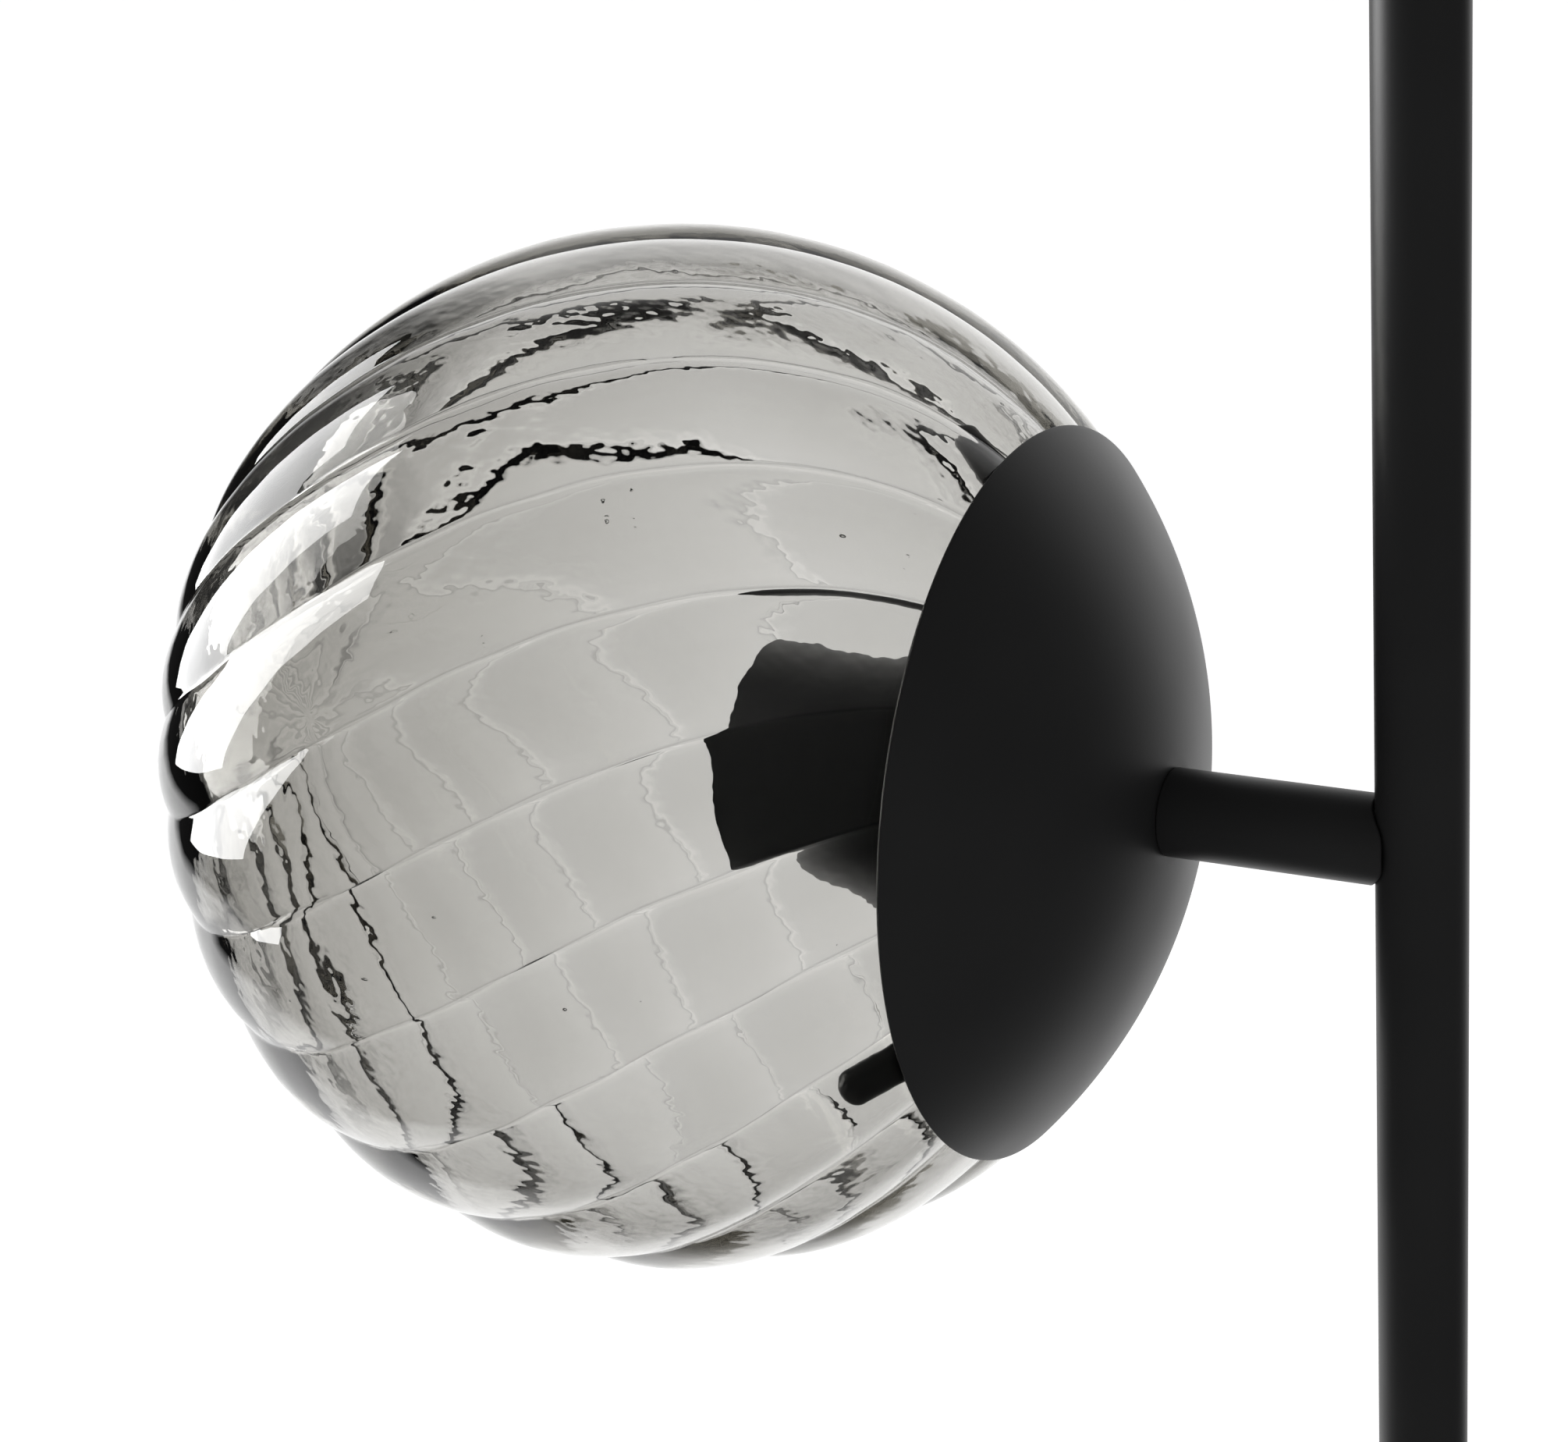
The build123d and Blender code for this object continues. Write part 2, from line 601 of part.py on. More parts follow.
# Cable inlet: an open bush in the back of the skirt, with nothing in it.
with BuildPart() as cable_inlet:
    with BuildSketch(Plane.XZ.offset(-BASE_RADIUS)):
        with Locations((0, inlet_height)):
            Circle(INLET_FLANGE_RADIUS)
    extrude(amount=-INLET_FLANGE_THICKNESS)
    with BuildSketch(Plane.XZ.offset(-BASE_RADIUS)):
        with Locations((0, inlet_height)):
            Circle(INLET_NECK_RADIUS)
    extrude(amount=INLET_NECK_LENGTH)
    with BuildSketch(Plane.XZ.offset(-BASE_RADIUS - INLET_FLANGE_THICKNESS)):
        with Locations((0, inlet_height)):
            Circle(INLET_BORE / 2)
    extrude(amount=INLET_NECK_LENGTH + INLET_FLANGE_THICKNESS, mode=Mode.SUBTRACT)
save(cable_inlet.part, "cable_inlet")

# ---- Leads: from the block in the base, up the post, into the lampholder --------
lead_floor = PAD_THICKNESS + LEAD_DIAMETER
turn_out_x = globe_x + can_floor - HOLDER_DOME_BACK - LEAD_DIAMETER / 2
terminal_face_x = globe_x + dome_front + TERMINAL_HEIGHT
for name, side in (("lead_live", 1), ("lead_neutral", -1)):
    offset_x = side * LEAD_OFFSET
    lead_height = arm_height + side * LEAD_OFFSET
    with BuildPart() as lead:
        with BuildLine() as route:
            FilletPolyline(
                (side * BLOCK_PITCH, BLOCK_DISTANCE, lead_floor),
                (side * BLOCK_PITCH, BLOCK_DISTANCE - LEAD_TERMINAL_RUN, lead_floor),
                (offset_x, POCKET_RADIUS / 2, lead_floor),
                (offset_x, 0, lead_floor),
                (offset_x, 0, lead_height),
                (turn_out_x, 0, lead_height),
                (terminal_face_x + LEAD_TERMINAL_RUN, 0, arm_height + side * TERMINAL_OFFSET),
                (terminal_face_x, 0, arm_height + side * TERMINAL_OFFSET),
                radius=[
                    LEAD_JOG_BEND,
                    LEAD_JOG_BEND,
                    LEAD_FOOT_BEND,
                    LEAD_BEND + side * LEAD_OFFSET,
                    LEAD_END_BEND,
                    LEAD_END_BEND,
                ],
            )
        with BuildSketch(route.line ^ 0):
            Circle(LEAD_DIAMETER / 2)
        sweep()
    save(lead.part, name)
    lead_length = sum(edge.length for edge in route.edges())
    lead_volume = pi * (LEAD_DIAMETER / 2) ** 2 * lead_length
    print(f"  length {lead_length:.1f}, section times length {lead_volume:.1f}")

# The earth lead runs straight from the block to the underside of the tag.
lead_earth_start = NUT_ACROSS_FLATS / 2 + EARTH_TAG_WIDTH
with BuildPart() as lead_earth:
    with BuildSketch(Plane.XZ.offset(-BLOCK_DISTANCE)):
        with Locations((0, tag_height - LEAD_DIAMETER / 2)):
            Circle(LEAD_DIAMETER / 2)
    extrude(amount=BLOCK_DISTANCE - lead_earth_start)
save(lead_earth.part, "lead_earth")
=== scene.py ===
# %% [markdown]
# # Globe floor lamp: the looks
#
# The solids of this lamp are already made and packed: a slim black post on a round
# weighted base, one short side arm, a domed cup, and a smoked glass globe with
# twisted ribs. This lesson puts a surface on each of them in Blender, rebuilds the
# ones that need a finer shape, and lights them as a studio photograph would. The
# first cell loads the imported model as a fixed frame. Lengths are in metres, +Z is up
# and the arm points along -X.

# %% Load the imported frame
import json
import random
from math import acos, atan2, cos, degrees, floor, hypot, pi, radians, sin, sqrt, tau

import bmesh
import bpy
from mathutils import Matrix, Vector, noise

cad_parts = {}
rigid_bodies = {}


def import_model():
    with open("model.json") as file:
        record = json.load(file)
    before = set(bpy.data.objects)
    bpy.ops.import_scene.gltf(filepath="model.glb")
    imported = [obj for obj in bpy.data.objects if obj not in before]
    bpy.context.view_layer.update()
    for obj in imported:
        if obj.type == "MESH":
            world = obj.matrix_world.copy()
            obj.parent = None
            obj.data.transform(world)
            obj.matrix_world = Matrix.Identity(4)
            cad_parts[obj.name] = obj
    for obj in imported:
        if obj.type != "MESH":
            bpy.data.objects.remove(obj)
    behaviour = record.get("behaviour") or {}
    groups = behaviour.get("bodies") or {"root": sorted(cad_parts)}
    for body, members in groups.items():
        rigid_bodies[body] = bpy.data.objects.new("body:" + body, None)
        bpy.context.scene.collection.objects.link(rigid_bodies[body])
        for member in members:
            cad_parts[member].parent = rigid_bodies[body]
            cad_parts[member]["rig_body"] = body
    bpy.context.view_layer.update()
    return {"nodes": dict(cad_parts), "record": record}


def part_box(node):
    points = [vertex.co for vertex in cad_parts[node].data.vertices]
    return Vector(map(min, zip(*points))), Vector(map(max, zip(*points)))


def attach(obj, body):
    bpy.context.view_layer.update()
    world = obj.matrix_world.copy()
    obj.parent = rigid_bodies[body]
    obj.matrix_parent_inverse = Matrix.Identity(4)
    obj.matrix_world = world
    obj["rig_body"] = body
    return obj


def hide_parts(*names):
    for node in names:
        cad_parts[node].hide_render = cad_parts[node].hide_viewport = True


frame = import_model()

nodes = frame["nodes"]

# %% [markdown]
# ## One frame, two sets of words
#
# The lampholder, the cup and the globe all sit on the arm's line. It is easiest to
# say where something is by how far along that line it lies, measured from the
# globe's centre towards the post, and how far out from the line. These sizes repeat
# the ones the solids were made from, in millimetres, and the prints show the frame's
# own boxes to compare them with.

# %% Sizes that the pieces share
MM = 0.001
GLOBE_RADIUS = 75.0  # over the crests of its ribs
GLASS_INNER = 71.8  # inside the glass, before the ribs press on it
MOUTH = 60.517  # along the arm's line, where the glass is cut off
GLOBE_REACH = 110.7  # post's centre to globe's centre
ARM_HEIGHT = 1350.0
POST_RADIUS = 6.1
POST_BORE = 5.1
THREAD_BORE = 4.05  # round the hollow studs
BASE_TOP = 17.0

globe_centre = Vector((-GLOBE_REACH, 0, ARM_HEIGHT)) * MM
ALONG_ARM = Vector((1, 0, 0))
UP = Vector((0, 0, 1))


def along_arm(along, out):
    """The point that far along the arm's line and that far above it."""
    return globe_centre + (ALONG_ARM * along + UP * out) * MM


low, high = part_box("glass_globe")
print("globe in the frame:", [round(v / MM, 2) for v in (*low, *high)])
low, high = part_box("cup_shell")
print("cup in the frame:", [round(v / MM, 2) for v in (*low, *high)])

# %% [markdown]
# ## Recipes for surfaces
#
# A finish in Blender is a small network of nodes. Written by hand that is a lot of
# lines, so two classes keep it short. A Wire is one socket, and it understands plain
# arithmetic: adding two Wires makes the Math node that adds them. A Recipe is one
# material, and its node method makes any other node, with its settings first and
# then its sockets.


# %% Wire and Recipe
class Wire:
    """One socket of a material, with Python's arithmetic on it."""

    def __init__(self, recipe, socket):
        self.recipe, self.socket = recipe, socket

    def math(self, operation, first, second=0.0):
        settings = {"operation": operation}
        return self.recipe.node("ShaderNodeMath", settings, {0: first, 1: second})

    def __add__(self, other):
        return self.math("ADD", self, other)

    def __radd__(self, other):
        return self.math("ADD", other, self)

    def __sub__(self, other):
        return self.math("SUBTRACT", self, other)

    def __rsub__(self, other):
        return self.math("SUBTRACT", other, self)

    def __mul__(self, other):
        return self.math("MULTIPLY", self, other)

    def __gt__(self, other):
        return self.math("GREATER_THAN", self, other)

    def __lt__(self, other):
        return self.math("LESS_THAN", self, other)


class Recipe:
    """A node material, a world or a light's glow, written as a recipe."""

    def __init__(self, name, made=None, output="Material"):
        self.made = made or bpy.data.materials.new(name)
        self.made.use_nodes = True
        self.tree = self.made.node_tree
        self.tree.nodes.clear()
        self.output = self.tree.nodes.new("ShaderNodeOutput" + output)

    def node(self, kind, settings=None, sockets=None, output=0):
        made = self.tree.nodes.new(kind)
        for key, value in (settings or {}).items():
            if key == "stops":
                ramp = made.color_ramp
                while len(ramp.elements) < len(value):
                    ramp.elements.new(1.0)
                for stop, (position, shade) in zip(ramp.elements, value):
                    stop.position, stop.color = position, shade
            else:
                setattr(made, key, value)
        self.fill(made, sockets or {})
        return Wire(self, made.outputs[output])

    def fill(self, made, sockets):
        for key, value in sockets.items():
            if isinstance(value, Wire):
                self.tree.links.new(value.socket, made.inputs[key])
            else:
                made.inputs[key].default_value = value

    def place(self, scale=(1, 1, 1), shift=(0, 0, 0)):
        """Object coordinates in metres, scaled and then shifted."""
        place = self.node("ShaderNodeTexCoord", output="Object")
        sockets = {"Vector": place, "Scale": scale, "Location": shift}
        return self.node("ShaderNodeMapping", None, sockets)

    def axis(self, vector, name):
        """One part of a vector: X, Y or Z."""
        return self.node("ShaderNodeSeparateXYZ", None, {0: vector}, name)

    def measure(self, operation, first, second=(0, 0, 0)):
        """A number from vectors: a length or a dot product."""
        sockets = {0: first, 1: second}
        return self.node("ShaderNodeVectorMath", {"operation": operation}, sockets, "Value")

    def attribute(self, name):
        """A number that the mesh carries on its vertices."""
        return self.node("ShaderNodeAttribute", {"attribute_name": name}, output="Fac")

    def light_path(self, name):
        """What a ray has been through on its way from the camera."""
        return self.node("ShaderNodeLightPath", output=name)

    def grain(self, scale, detail=2.0, vector=None):
        """Soft noise from 0 to 1, with that many grains to the metre."""
        sockets = {"Vector": vector or self.place(), "Scale": scale, "Detail": detail}
        return self.node("ShaderNodeTexNoise", None, sockets, "Fac")

    def cells(self, scale):
        """Distance from the nearest of many scattered points."""
        sockets = {"Vector": self.place(), "Scale": scale}
        return self.node("ShaderNodeTexVoronoi", None, sockets, "Distance")

    def between(self, value, low, high, to_low=0.0, to_high=1.0):
        """Maps low..high to to_low..to_high, and clamps."""
        sockets = {0: value, 1: low, 2: high, 3: to_low, 4: to_high}
        return self.node("ShaderNodeMapRange", None, sockets)

    def blend(self, amount, first, second):
        """One colour turning into another."""
        sockets = {0: amount, 6: first, 7: second}
        return self.node("ShaderNodeMix", {"data_type": "RGBA"}, sockets, 2)

    def bump(self, height, distance, strength=1.0):
        """Tilts the surface as a relief that many metres high would."""
        sockets = {"Height": height, "Distance": distance, "Strength": strength}
        return self.node("ShaderNodeBump", None, sockets)

    def surface(self, sockets):
        """Finishes the recipe with a Principled shader."""
        shader = self.node("ShaderNodeBsdfPrincipled", None, sockets)
        self.fill(self.output, {"Surface": shader})
        return self.made


def colour(red, green=None, blue=None):
    """A colour with full alpha; one number makes a grey."""
    return (red, red if green is None else green, red if blue is None else blue, 1.0)


print("Wire and Recipe are ready")

# %% [markdown]
# ## Black powder coat
#
# Every outside metal piece is sprayed with fine black powder and baked. Close up the
# coat is an even satin black with a very fine orange peel and slightly shinier and
# duller patches. Two noises make it: a fine one lifts the surface by up to two
# hundredths of a millimetre, and a broad one moves the colour and the roughness.


# %% Black powder coat
def make_black_coat():
    coat = Recipe("black_coat")
    peel = coat.grain(1500.0, 3.0)
    patches = coat.grain(35.0, 2.0)
    shade = coat.blend(patches, colour(0.012, 0.012, 0.0125), colour(0.018, 0.018, 0.0185))
    return coat.surface(
        {
            "Base Color": shade,
            "Roughness": coat.between(patches, 0.3, 0.7, 0.40, 0.46),
            "IOR": 1.5,
            "Normal": coat.bump(peel, 0.00002, 0.35),
        }
    )


black_coat = make_black_coat()
print("made", black_coat.name)

# %% [markdown]
# ## Smoked glass
#
# The globe is blown from grey glass. Its colour isn't on the surface: it is in the
# wall, so thick places and slanting looks are darker. In Blender that is a clear
# glass surface round a volume that swallows a little light on its way through,
# slightly more blue than red, which gives the warm grey. A volume alone would need a
# far thicker wall, so both surfaces tint the light as well.
#
# The wall also changes from one groove to the next, too finely for the mesh. The
# globe's vertices will carry a number called rib_share, 0 on one groove and 1 on the
# next, and a colour ramp turns it into a bright line, a band and a dark line. The band
# is the tint of the rib's thicker glass; the bright line is a painted highlight and the
# dark line a painted shade along each groove. Inside, small ripples bend what is seen
# through the wall. The mouth is ground, so it is rough.

# %% Smoked glass
BETWEEN_WALLS = 73.05  # a radius that parts the inside of the glass from the outside
MOUTH_GRINDING = 0.02  # how deep the grinding reaches
RIPPLES_PER_METRE = 450.0
RIPPLE_HEIGHT = 0.000027
BUBBLE_END = (-0.072, -0.020)  # where the glass is darker, in metres from the middle

# how clear the outside is from one groove (0) to the next (1): a painted highlight as a
# bright line just past the groove, then the tint of thicker glass that thins again, and a
# painted shade as a dark line before the next
RIB_TINT_AND_PAINTED_LINES = (
    (0.0, 1.0), (0.018, 1.0), (0.035, 0.87), (0.08, 0.79), (0.5, 0.83), (0.93, 0.885),
    (0.975, 0.84), (0.99, 0.58), (1.0, 0.62),
)


def make_smoked_glass():
    glass = Recipe("smoked_glass")
    from_middle = glass.place(shift=tuple(-globe_centre))
    along = glass.axis(from_middle, "X")
    ground = along > (MOUTH - MOUTH_GRINDING) * MM
    inside = glass.measure("LENGTH", from_middle) < BETWEEN_WALLS * MM
    ripples = glass.grain(RIPPLES_PER_METRE, 1.0, glass.place(scale=(0.7, 1, 1)))
    # the outside's tint, with a painted highlight and a painted shade along each groove
    stops = [(share, colour(grey)) for share, grey in RIB_TINT_AND_PAINTED_LINES]
    sockets = {"Fac": glass.attribute("rib_share")}
    outer_tint_and_painted_lines = glass.node("ShaderNodeValToRGB", {"stops": stops}, sockets)
    bubble_end = glass.between(along, *BUBBLE_END)
    inner_tint = glass.blend(bubble_end, colour(0.70, 0.69, 0.665), colour(0.92, 0.915, 0.90))
    absorb = {"Color": colour(0.10, 0.075, 0.0), "Density": 95.0}
    volume = glass.node("ShaderNodeVolumeAbsorption", None, absorb)
    glass.fill(glass.output, {"Volume": volume})
    return glass.surface(
        {
            "Base Color": glass.blend(inside, outer_tint_and_painted_lines, inner_tint),
            "Roughness": ground * 0.45,
            "IOR": 1.5,
            "Transmission Weight": 1.0,
            "Normal": glass.bump(ripples * inside, RIPPLE_HEIGHT),
        }
    )


smoked_glass = make_smoked_glass()
print("made", smoked_glass.name)

# %% [markdown]
# ## Metals
#
# Four metals are inside the lamp. The nuts, washers and studs are zinc plated, the
# prongs are dark spring steel, the lampholder's contacts are brass, and the weight
# is a grey primed casting. Each gets its own grain: a plated part shows a faint
# mottled sheen, rolled strip shows fine lines along it, and a casting is pitted.


# %% Plated steel, spring steel, brass and casting
def make_plated_steel():
    steel = Recipe("plated_steel")
    mottle = steel.grain(400.0, 4.0)
    shade = steel.blend(mottle, colour(0.50, 0.51, 0.52), colour(0.72, 0.71, 0.67))
    return steel.surface(
        {
            "Base Color": shade,
            "Metallic": 1.0,
            "Roughness": steel.between(mottle, 0.3, 0.7, 0.25, 0.42),
            "Normal": steel.bump(mottle, 0.00002, 0.5),
        }
    )


def make_spring_steel():
    steel = Recipe("spring_steel")
    lines = steel.grain(300.0, 3.0, steel.place(scale=(1, 14, 14)))
    shade = steel.blend(lines, colour(0.16, 0.155, 0.15), colour(0.34, 0.33, 0.32))
    return steel.surface(
        {
            "Base Color": shade,
            "Metallic": 1.0,
            "Roughness": steel.between(lines, 0.3, 0.7, 0.28, 0.45),
            "Normal": steel.bump(lines, 0.00002, 0.4),
        }
    )


def make_nickel_brass():
    brass = Recipe("nickel_brass")
    tarnish = brass.grain(220.0, 3.0)
    shade = brass.blend(tarnish, colour(0.55, 0.43, 0.22), colour(0.82, 0.68, 0.40))
    return brass.surface(
        {
            "Base Color": shade,
            "Metallic": 1.0,
            "Roughness": brass.between(tarnish, 0.3, 0.7, 0.38, 0.2),
            "Normal": brass.bump(tarnish, 0.00001, 0.5),
        }
    )


def make_cast_weight():
    cast = Recipe("cast_weight")
    pits = cast.grain(700.0, 5.0)
    patches = cast.grain(60.0, 2.0)
    shade = cast.blend(patches, colour(0.07, 0.07, 0.072), colour(0.13, 0.128, 0.125))
    return cast.surface(
        {
            "Base Color": shade,
            "Roughness": cast.between(pits, 0.3, 0.7, 0.6, 0.8),
            "Normal": cast.bump(pits, 0.0002, 0.7),
        }
    )


plated_steel = make_plated_steel()
spring_steel = make_spring_steel()
nickel_brass = make_nickel_brass()
cast_weight = make_cast_weight()
print("made four metals")

# %% [markdown]
# ## Plastics, sleeves, foam and insulation
#
# The lampholder is a black moulding with a faint sparkle from its mould. The prongs
# wear soft black tubes, a little glossier. The pad below the base is a fine closed
# foam, drawn with a Voronoi texture, whose cells look like bubbles cut open. The
# leads have coloured insulation, and the earth lead is green with a yellow side,
# which is the half of it that lies at a positive X.


# %% Plastics, sleeves and foam
def make_moulding(name, dark, light, gloss, grain=900.0):
    plastic = Recipe(name)
    mould = plastic.grain(grain, 3.0)
    return plastic.surface(
        {
            "Base Color": plastic.blend(mould, dark, light),
            "Roughness": plastic.between(mould, 0.3, 0.7, gloss, gloss + 0.1),
            "Normal": plastic.bump(mould, 0.00003, 0.4),
        }
    )


def make_pad_foam():
    foam = Recipe("pad_foam")
    bubbles = foam.cells(1400.0)
    return foam.surface(
        {
            "Base Color": foam.blend(bubbles, colour(0.018), colour(0.05)),
            "Roughness": foam.between(bubbles, 0.0, 0.6, 0.95, 0.75),
            "Normal": foam.bump(bubbles, 0.0002, 0.8),
        }
    )


def make_green_lead():
    lead = Recipe("lead_green")
    stripe = lead.axis(lead.place(), "X") > 0.0
    mould = lead.grain(900.0)
    green = lead.blend(mould, colour(0.03, 0.20, 0.02), colour(0.05, 0.27, 0.03))
    return lead.surface(
        {
            "Base Color": lead.blend(stripe, green, colour(0.70, 0.60, 0.02)),
            "Roughness": lead.between(mould, 0.3, 0.7, 0.35, 0.45),
            "Normal": lead.bump(mould, 0.00002, 0.4),
        }
    )


soft_sleeve = make_moulding("soft_sleeve", colour(0.012), colour(0.022), 0.30, 500.0)
holder_moulding = make_moulding("holder_moulding", colour(0.010), colour(0.018), 0.38)
block_moulding = make_moulding(
    "block_moulding", colour(0.66, 0.66, 0.62), colour(0.80, 0.80, 0.76), 0.4
)
lead_brown = make_moulding("lead_brown", colour(0.12, 0.05, 0.02), colour(0.18, 0.08, 0.03), 0.35)
lead_blue = make_moulding("lead_blue", colour(0.02, 0.07, 0.30), colour(0.04, 0.11, 0.42), 0.35)
pad_foam = make_pad_foam()
lead_green = make_green_lead()
print("made seven plastics")

# %% [markdown]
# ## Dressing the nodes
#
# The record says which finish each node of the frame takes. Every node gets it now.
# The nodes whose shape is already right keep it; the ones that a finer piece stands
# for are hidden later, and that piece takes the same finish.

# %% Dress every node
FINISHES = dict(
    black_coat=black_coat, smoked_glass=smoked_glass, plated_steel=plated_steel,
    spring_steel=spring_steel, nickel_brass=nickel_brass, cast_weight=cast_weight,
    soft_sleeve=soft_sleeve, holder_moulding=holder_moulding, block_moulding=block_moulding,
    lead_brown=lead_brown, lead_blue=lead_blue, lead_green=lead_green, pad_foam=pad_foam,
)
slot_of = {part["node"]: part["material_slot"] for part in frame["record"]["subparts"]}
for name, node in nodes.items():
    node.data.materials.clear()
    node.data.materials.append(FINISHES[slot_of[name]])
print("dressed", len(nodes), "nodes with", len(set(slot_of.values())), "finishes")

# %% [markdown]
# ## Tools for turned and finished pieces
#
# Most of this lamp is turned: a profile swept once round a line. The sweep_round
# helper draws the profile as a chain of edges and lets Blender's spin operator sweep
# it. A spin doesn't know which side is out, so the faces are turned by the sign of the
# volume that they enclose. A shallow bevel on the sharp rings then stands for the edge
# that a real tool leaves. The last helper turns the work into an object, gives it the
# finish of the node it stands for, and lets it ride on that node's body.


# %% Helpers for pieces
def face_outwards(bm):
    """Turns every face to the outside of its piece."""
    bmesh.ops.recalc_face_normals(bm, faces=bm.faces)
    if bm.calc_volume(signed=True) < 0:
        bmesh.ops.reverse_faces(bm, faces=bm.faces)


def sweep_round(bm, profile, start, direction, outwards, steps, closed=False):
    """Draws (along, out) pairs in millimetres as a chain of edges, and spins it."""
    points = [start + (direction * a + outwards * o) * MM for a, o in profile]
    verts = [bm.verts.new(point) for point in points]
    edges = [bm.edges.new(pair) for pair in zip(verts, verts[1:])]
    if closed:
        edges.append(bm.edges.new((verts[-1], verts[0])))
    bmesh.ops.spin(
        bm, geom=verts + edges, cent=start, axis=direction, angle=tau, steps=steps,
        use_merge=True, use_duplicate=False,
    )


def close_up(bm):
    """Joins the doubles that a spin leaves, and faces the piece outwards."""
    bmesh.ops.remove_doubles(bm, verts=bm.verts, dist=1e-7)
    face_outwards(bm)


def turned(profile, start, direction, steps, closed=True):
    """A piece turned round a line along the arm or the post."""
    bm = bmesh.new()
    outwards = UP if abs(direction.z) < 0.5 else Vector((1, 0, 0))
    sweep_round(bm, profile, start, direction, outwards, steps, closed)
    close_up(bm)
    return bm


def ease_edges(bm, width, angle=40.0, segments=3):
    """Rounds every edge that is sharper than that angle."""
    shared = [e for e in bm.edges if len(e.link_faces) == 2]
    sharp = [e for e in shared if e.calc_face_angle() > radians(angle)]
    bmesh.ops.bevel(
        bm, geom=sharp, offset=width * MM, offset_type="OFFSET", segments=segments,
        profile=0.5, affect="EDGES", material=-1, clamp_overlap=True,
    )
    return bm


def round_ring(bm, height, out, width, segments):
    """Rounds the ring of edges that lies that high and that far from the post's line."""
    ring = [
        e for e in bm.edges
        if all(
            abs(v.co.z - height * MM) < 1e-6
            and abs(hypot(v.co.x, v.co.y) - out * MM) < 1e-5
            for v in e.verts
        )
    ]
    bmesh.ops.bevel(
        bm, geom=ring, offset=width * MM, offset_type="OFFSET", segments=segments,
        profile=0.5, affect="EDGES", material=-1,
    )


def finish_piece(bm, name, *stands_for, sharp=35.0):
    """Makes the object, with the finish and the body of the nodes it stands for."""
    mesh = bpy.data.meshes.new(name)
    for face in bm.faces:
        face.smooth = True
    bm.to_mesh(mesh)
    bm.free()
    mesh.set_sharp_from_angle(angle=radians(sharp))
    piece = bpy.data.objects.new(name, mesh)
    bpy.context.scene.collection.objects.link(piece)
    slot = slot_of[stands_for[0]]
    mesh.materials.append(FINISHES[slot])
    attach(piece, nodes[stands_for[0]]["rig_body"])
    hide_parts(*stands_for)
    mesh.calc_loop_triangles()
    size = [round(v / MM, 1) for v in piece.dimensions]
    print(f"{name}: {len(mesh.loop_triangles)} triangles, {size} mm")
    return piece


# %% [markdown]
# ## The ribbed globe
#
# The real globe is blown into a ribbed mould and turned as it leaves it, so its
# round ribs lean and meet in thin grooves. The start is a plain double-walled bowl,
# turned round the arm's line with its open end at the mouth. Each vertex is then moved
# out to the ribbed surface and round by the twist. The lines of vertices are crowded
# together near the grooves, where the shape turns quickly. The inside follows the ribs
# only in part. Molten glass is never exact, so slow noise moves both walls by a tenth
# of a millimetre and makes the grooves wander.

# %% The shape of one rib
RIBS = 21
GROOVE_DEPTH = 1.6
GROOVE_FADE_RADIUS = 17.0  # nearer to the arm's line than this, the grooves fade
RIB_TWIST = radians(0.45)  # for each millimetre along the arm's line
RIB_PHASE = radians(153.3)
FULL_SOFTNESS_RADIUS = 40.0  # nearer than this, the grooves get sharper
rib_step = tau / RIBS


def rib_radius(along, turn, softness):
    """Out to the glass in mm, at turn ribs round from a groove."""
    crest = sqrt(max(GLOBE_RADIUS**2 - along**2, 0.01))
    softness *= min(1.0, crest / FULL_SOFTNESS_RADIUS)
    valley = crest - GROOVE_DEPTH * min(1.0, crest / GROOVE_FADE_RADIUS)
    half = rib_step / 2
    centre = (crest**2 - valley**2) / (2 * (crest - valley * cos(half)))
    from_groove = min(turn, 1 - turn) * rib_step * valley
    eased = min(hypot(from_groove, softness) / valley, half)
    off = half - eased
    return centre * cos(off) + sqrt((crest - centre) ** 2 - (centre * sin(off)) ** 2)


print("crest", round(rib_radius(0, 0.5, 0.3), 2), "groove", round(rib_radius(0, 0.0, 0.3), 2))

# %% Model the globe
RIB_SEGMENTS = 12
GLASS_RINGS = 180
CROWDING = 0.87  # 0 spreads the vertices evenly over a rib
OUTER_SOFTNESS = 0.2  # mm either side of a groove that are rounded
INNER_SOFTNESS = 0.7
INNER_SHARE = 0.66  # how much of the ribs the inside follows
INNER_CREST = 0.9  # how much thinner the wall is under a rib's crest
INNER_PLAIN_RADIUS = 20.0  # nearer to the arm's line than this, the inside turns plain
MOUTH_THINNER = 0.3  # how much thinner the wall gets from the middle to the mouth
POLE_EXTRA = 1.1  # the glass is thicker where the blower's bubble ends
GROOVE_WANDER = 0.04  # of a rib's width
GROOVE_WANDER_LENGTH = 12.0
OUTER_SWELL, INNER_SWELL, SWELL_LENGTH = 0.07, 0.15, 15.0
SMALL_SWELL, SMALL_SWELL_LENGTH = 0.035, 5.0
OUTER_SHIFT, INNER_SHIFT = -0.06, 0.05  # keep the swollen glass within its size
ON_THE_LINE = 0.05  # mm from the arm's line that count as on it


def arc(radius, start, end, count):
    """Points of (along, out) on a circle round the globe's centre."""
    turns = [start + (end - start) * i / count for i in range(count + 1)]
    return [(radius * cos(t), radius * sin(t)) for t in turns]


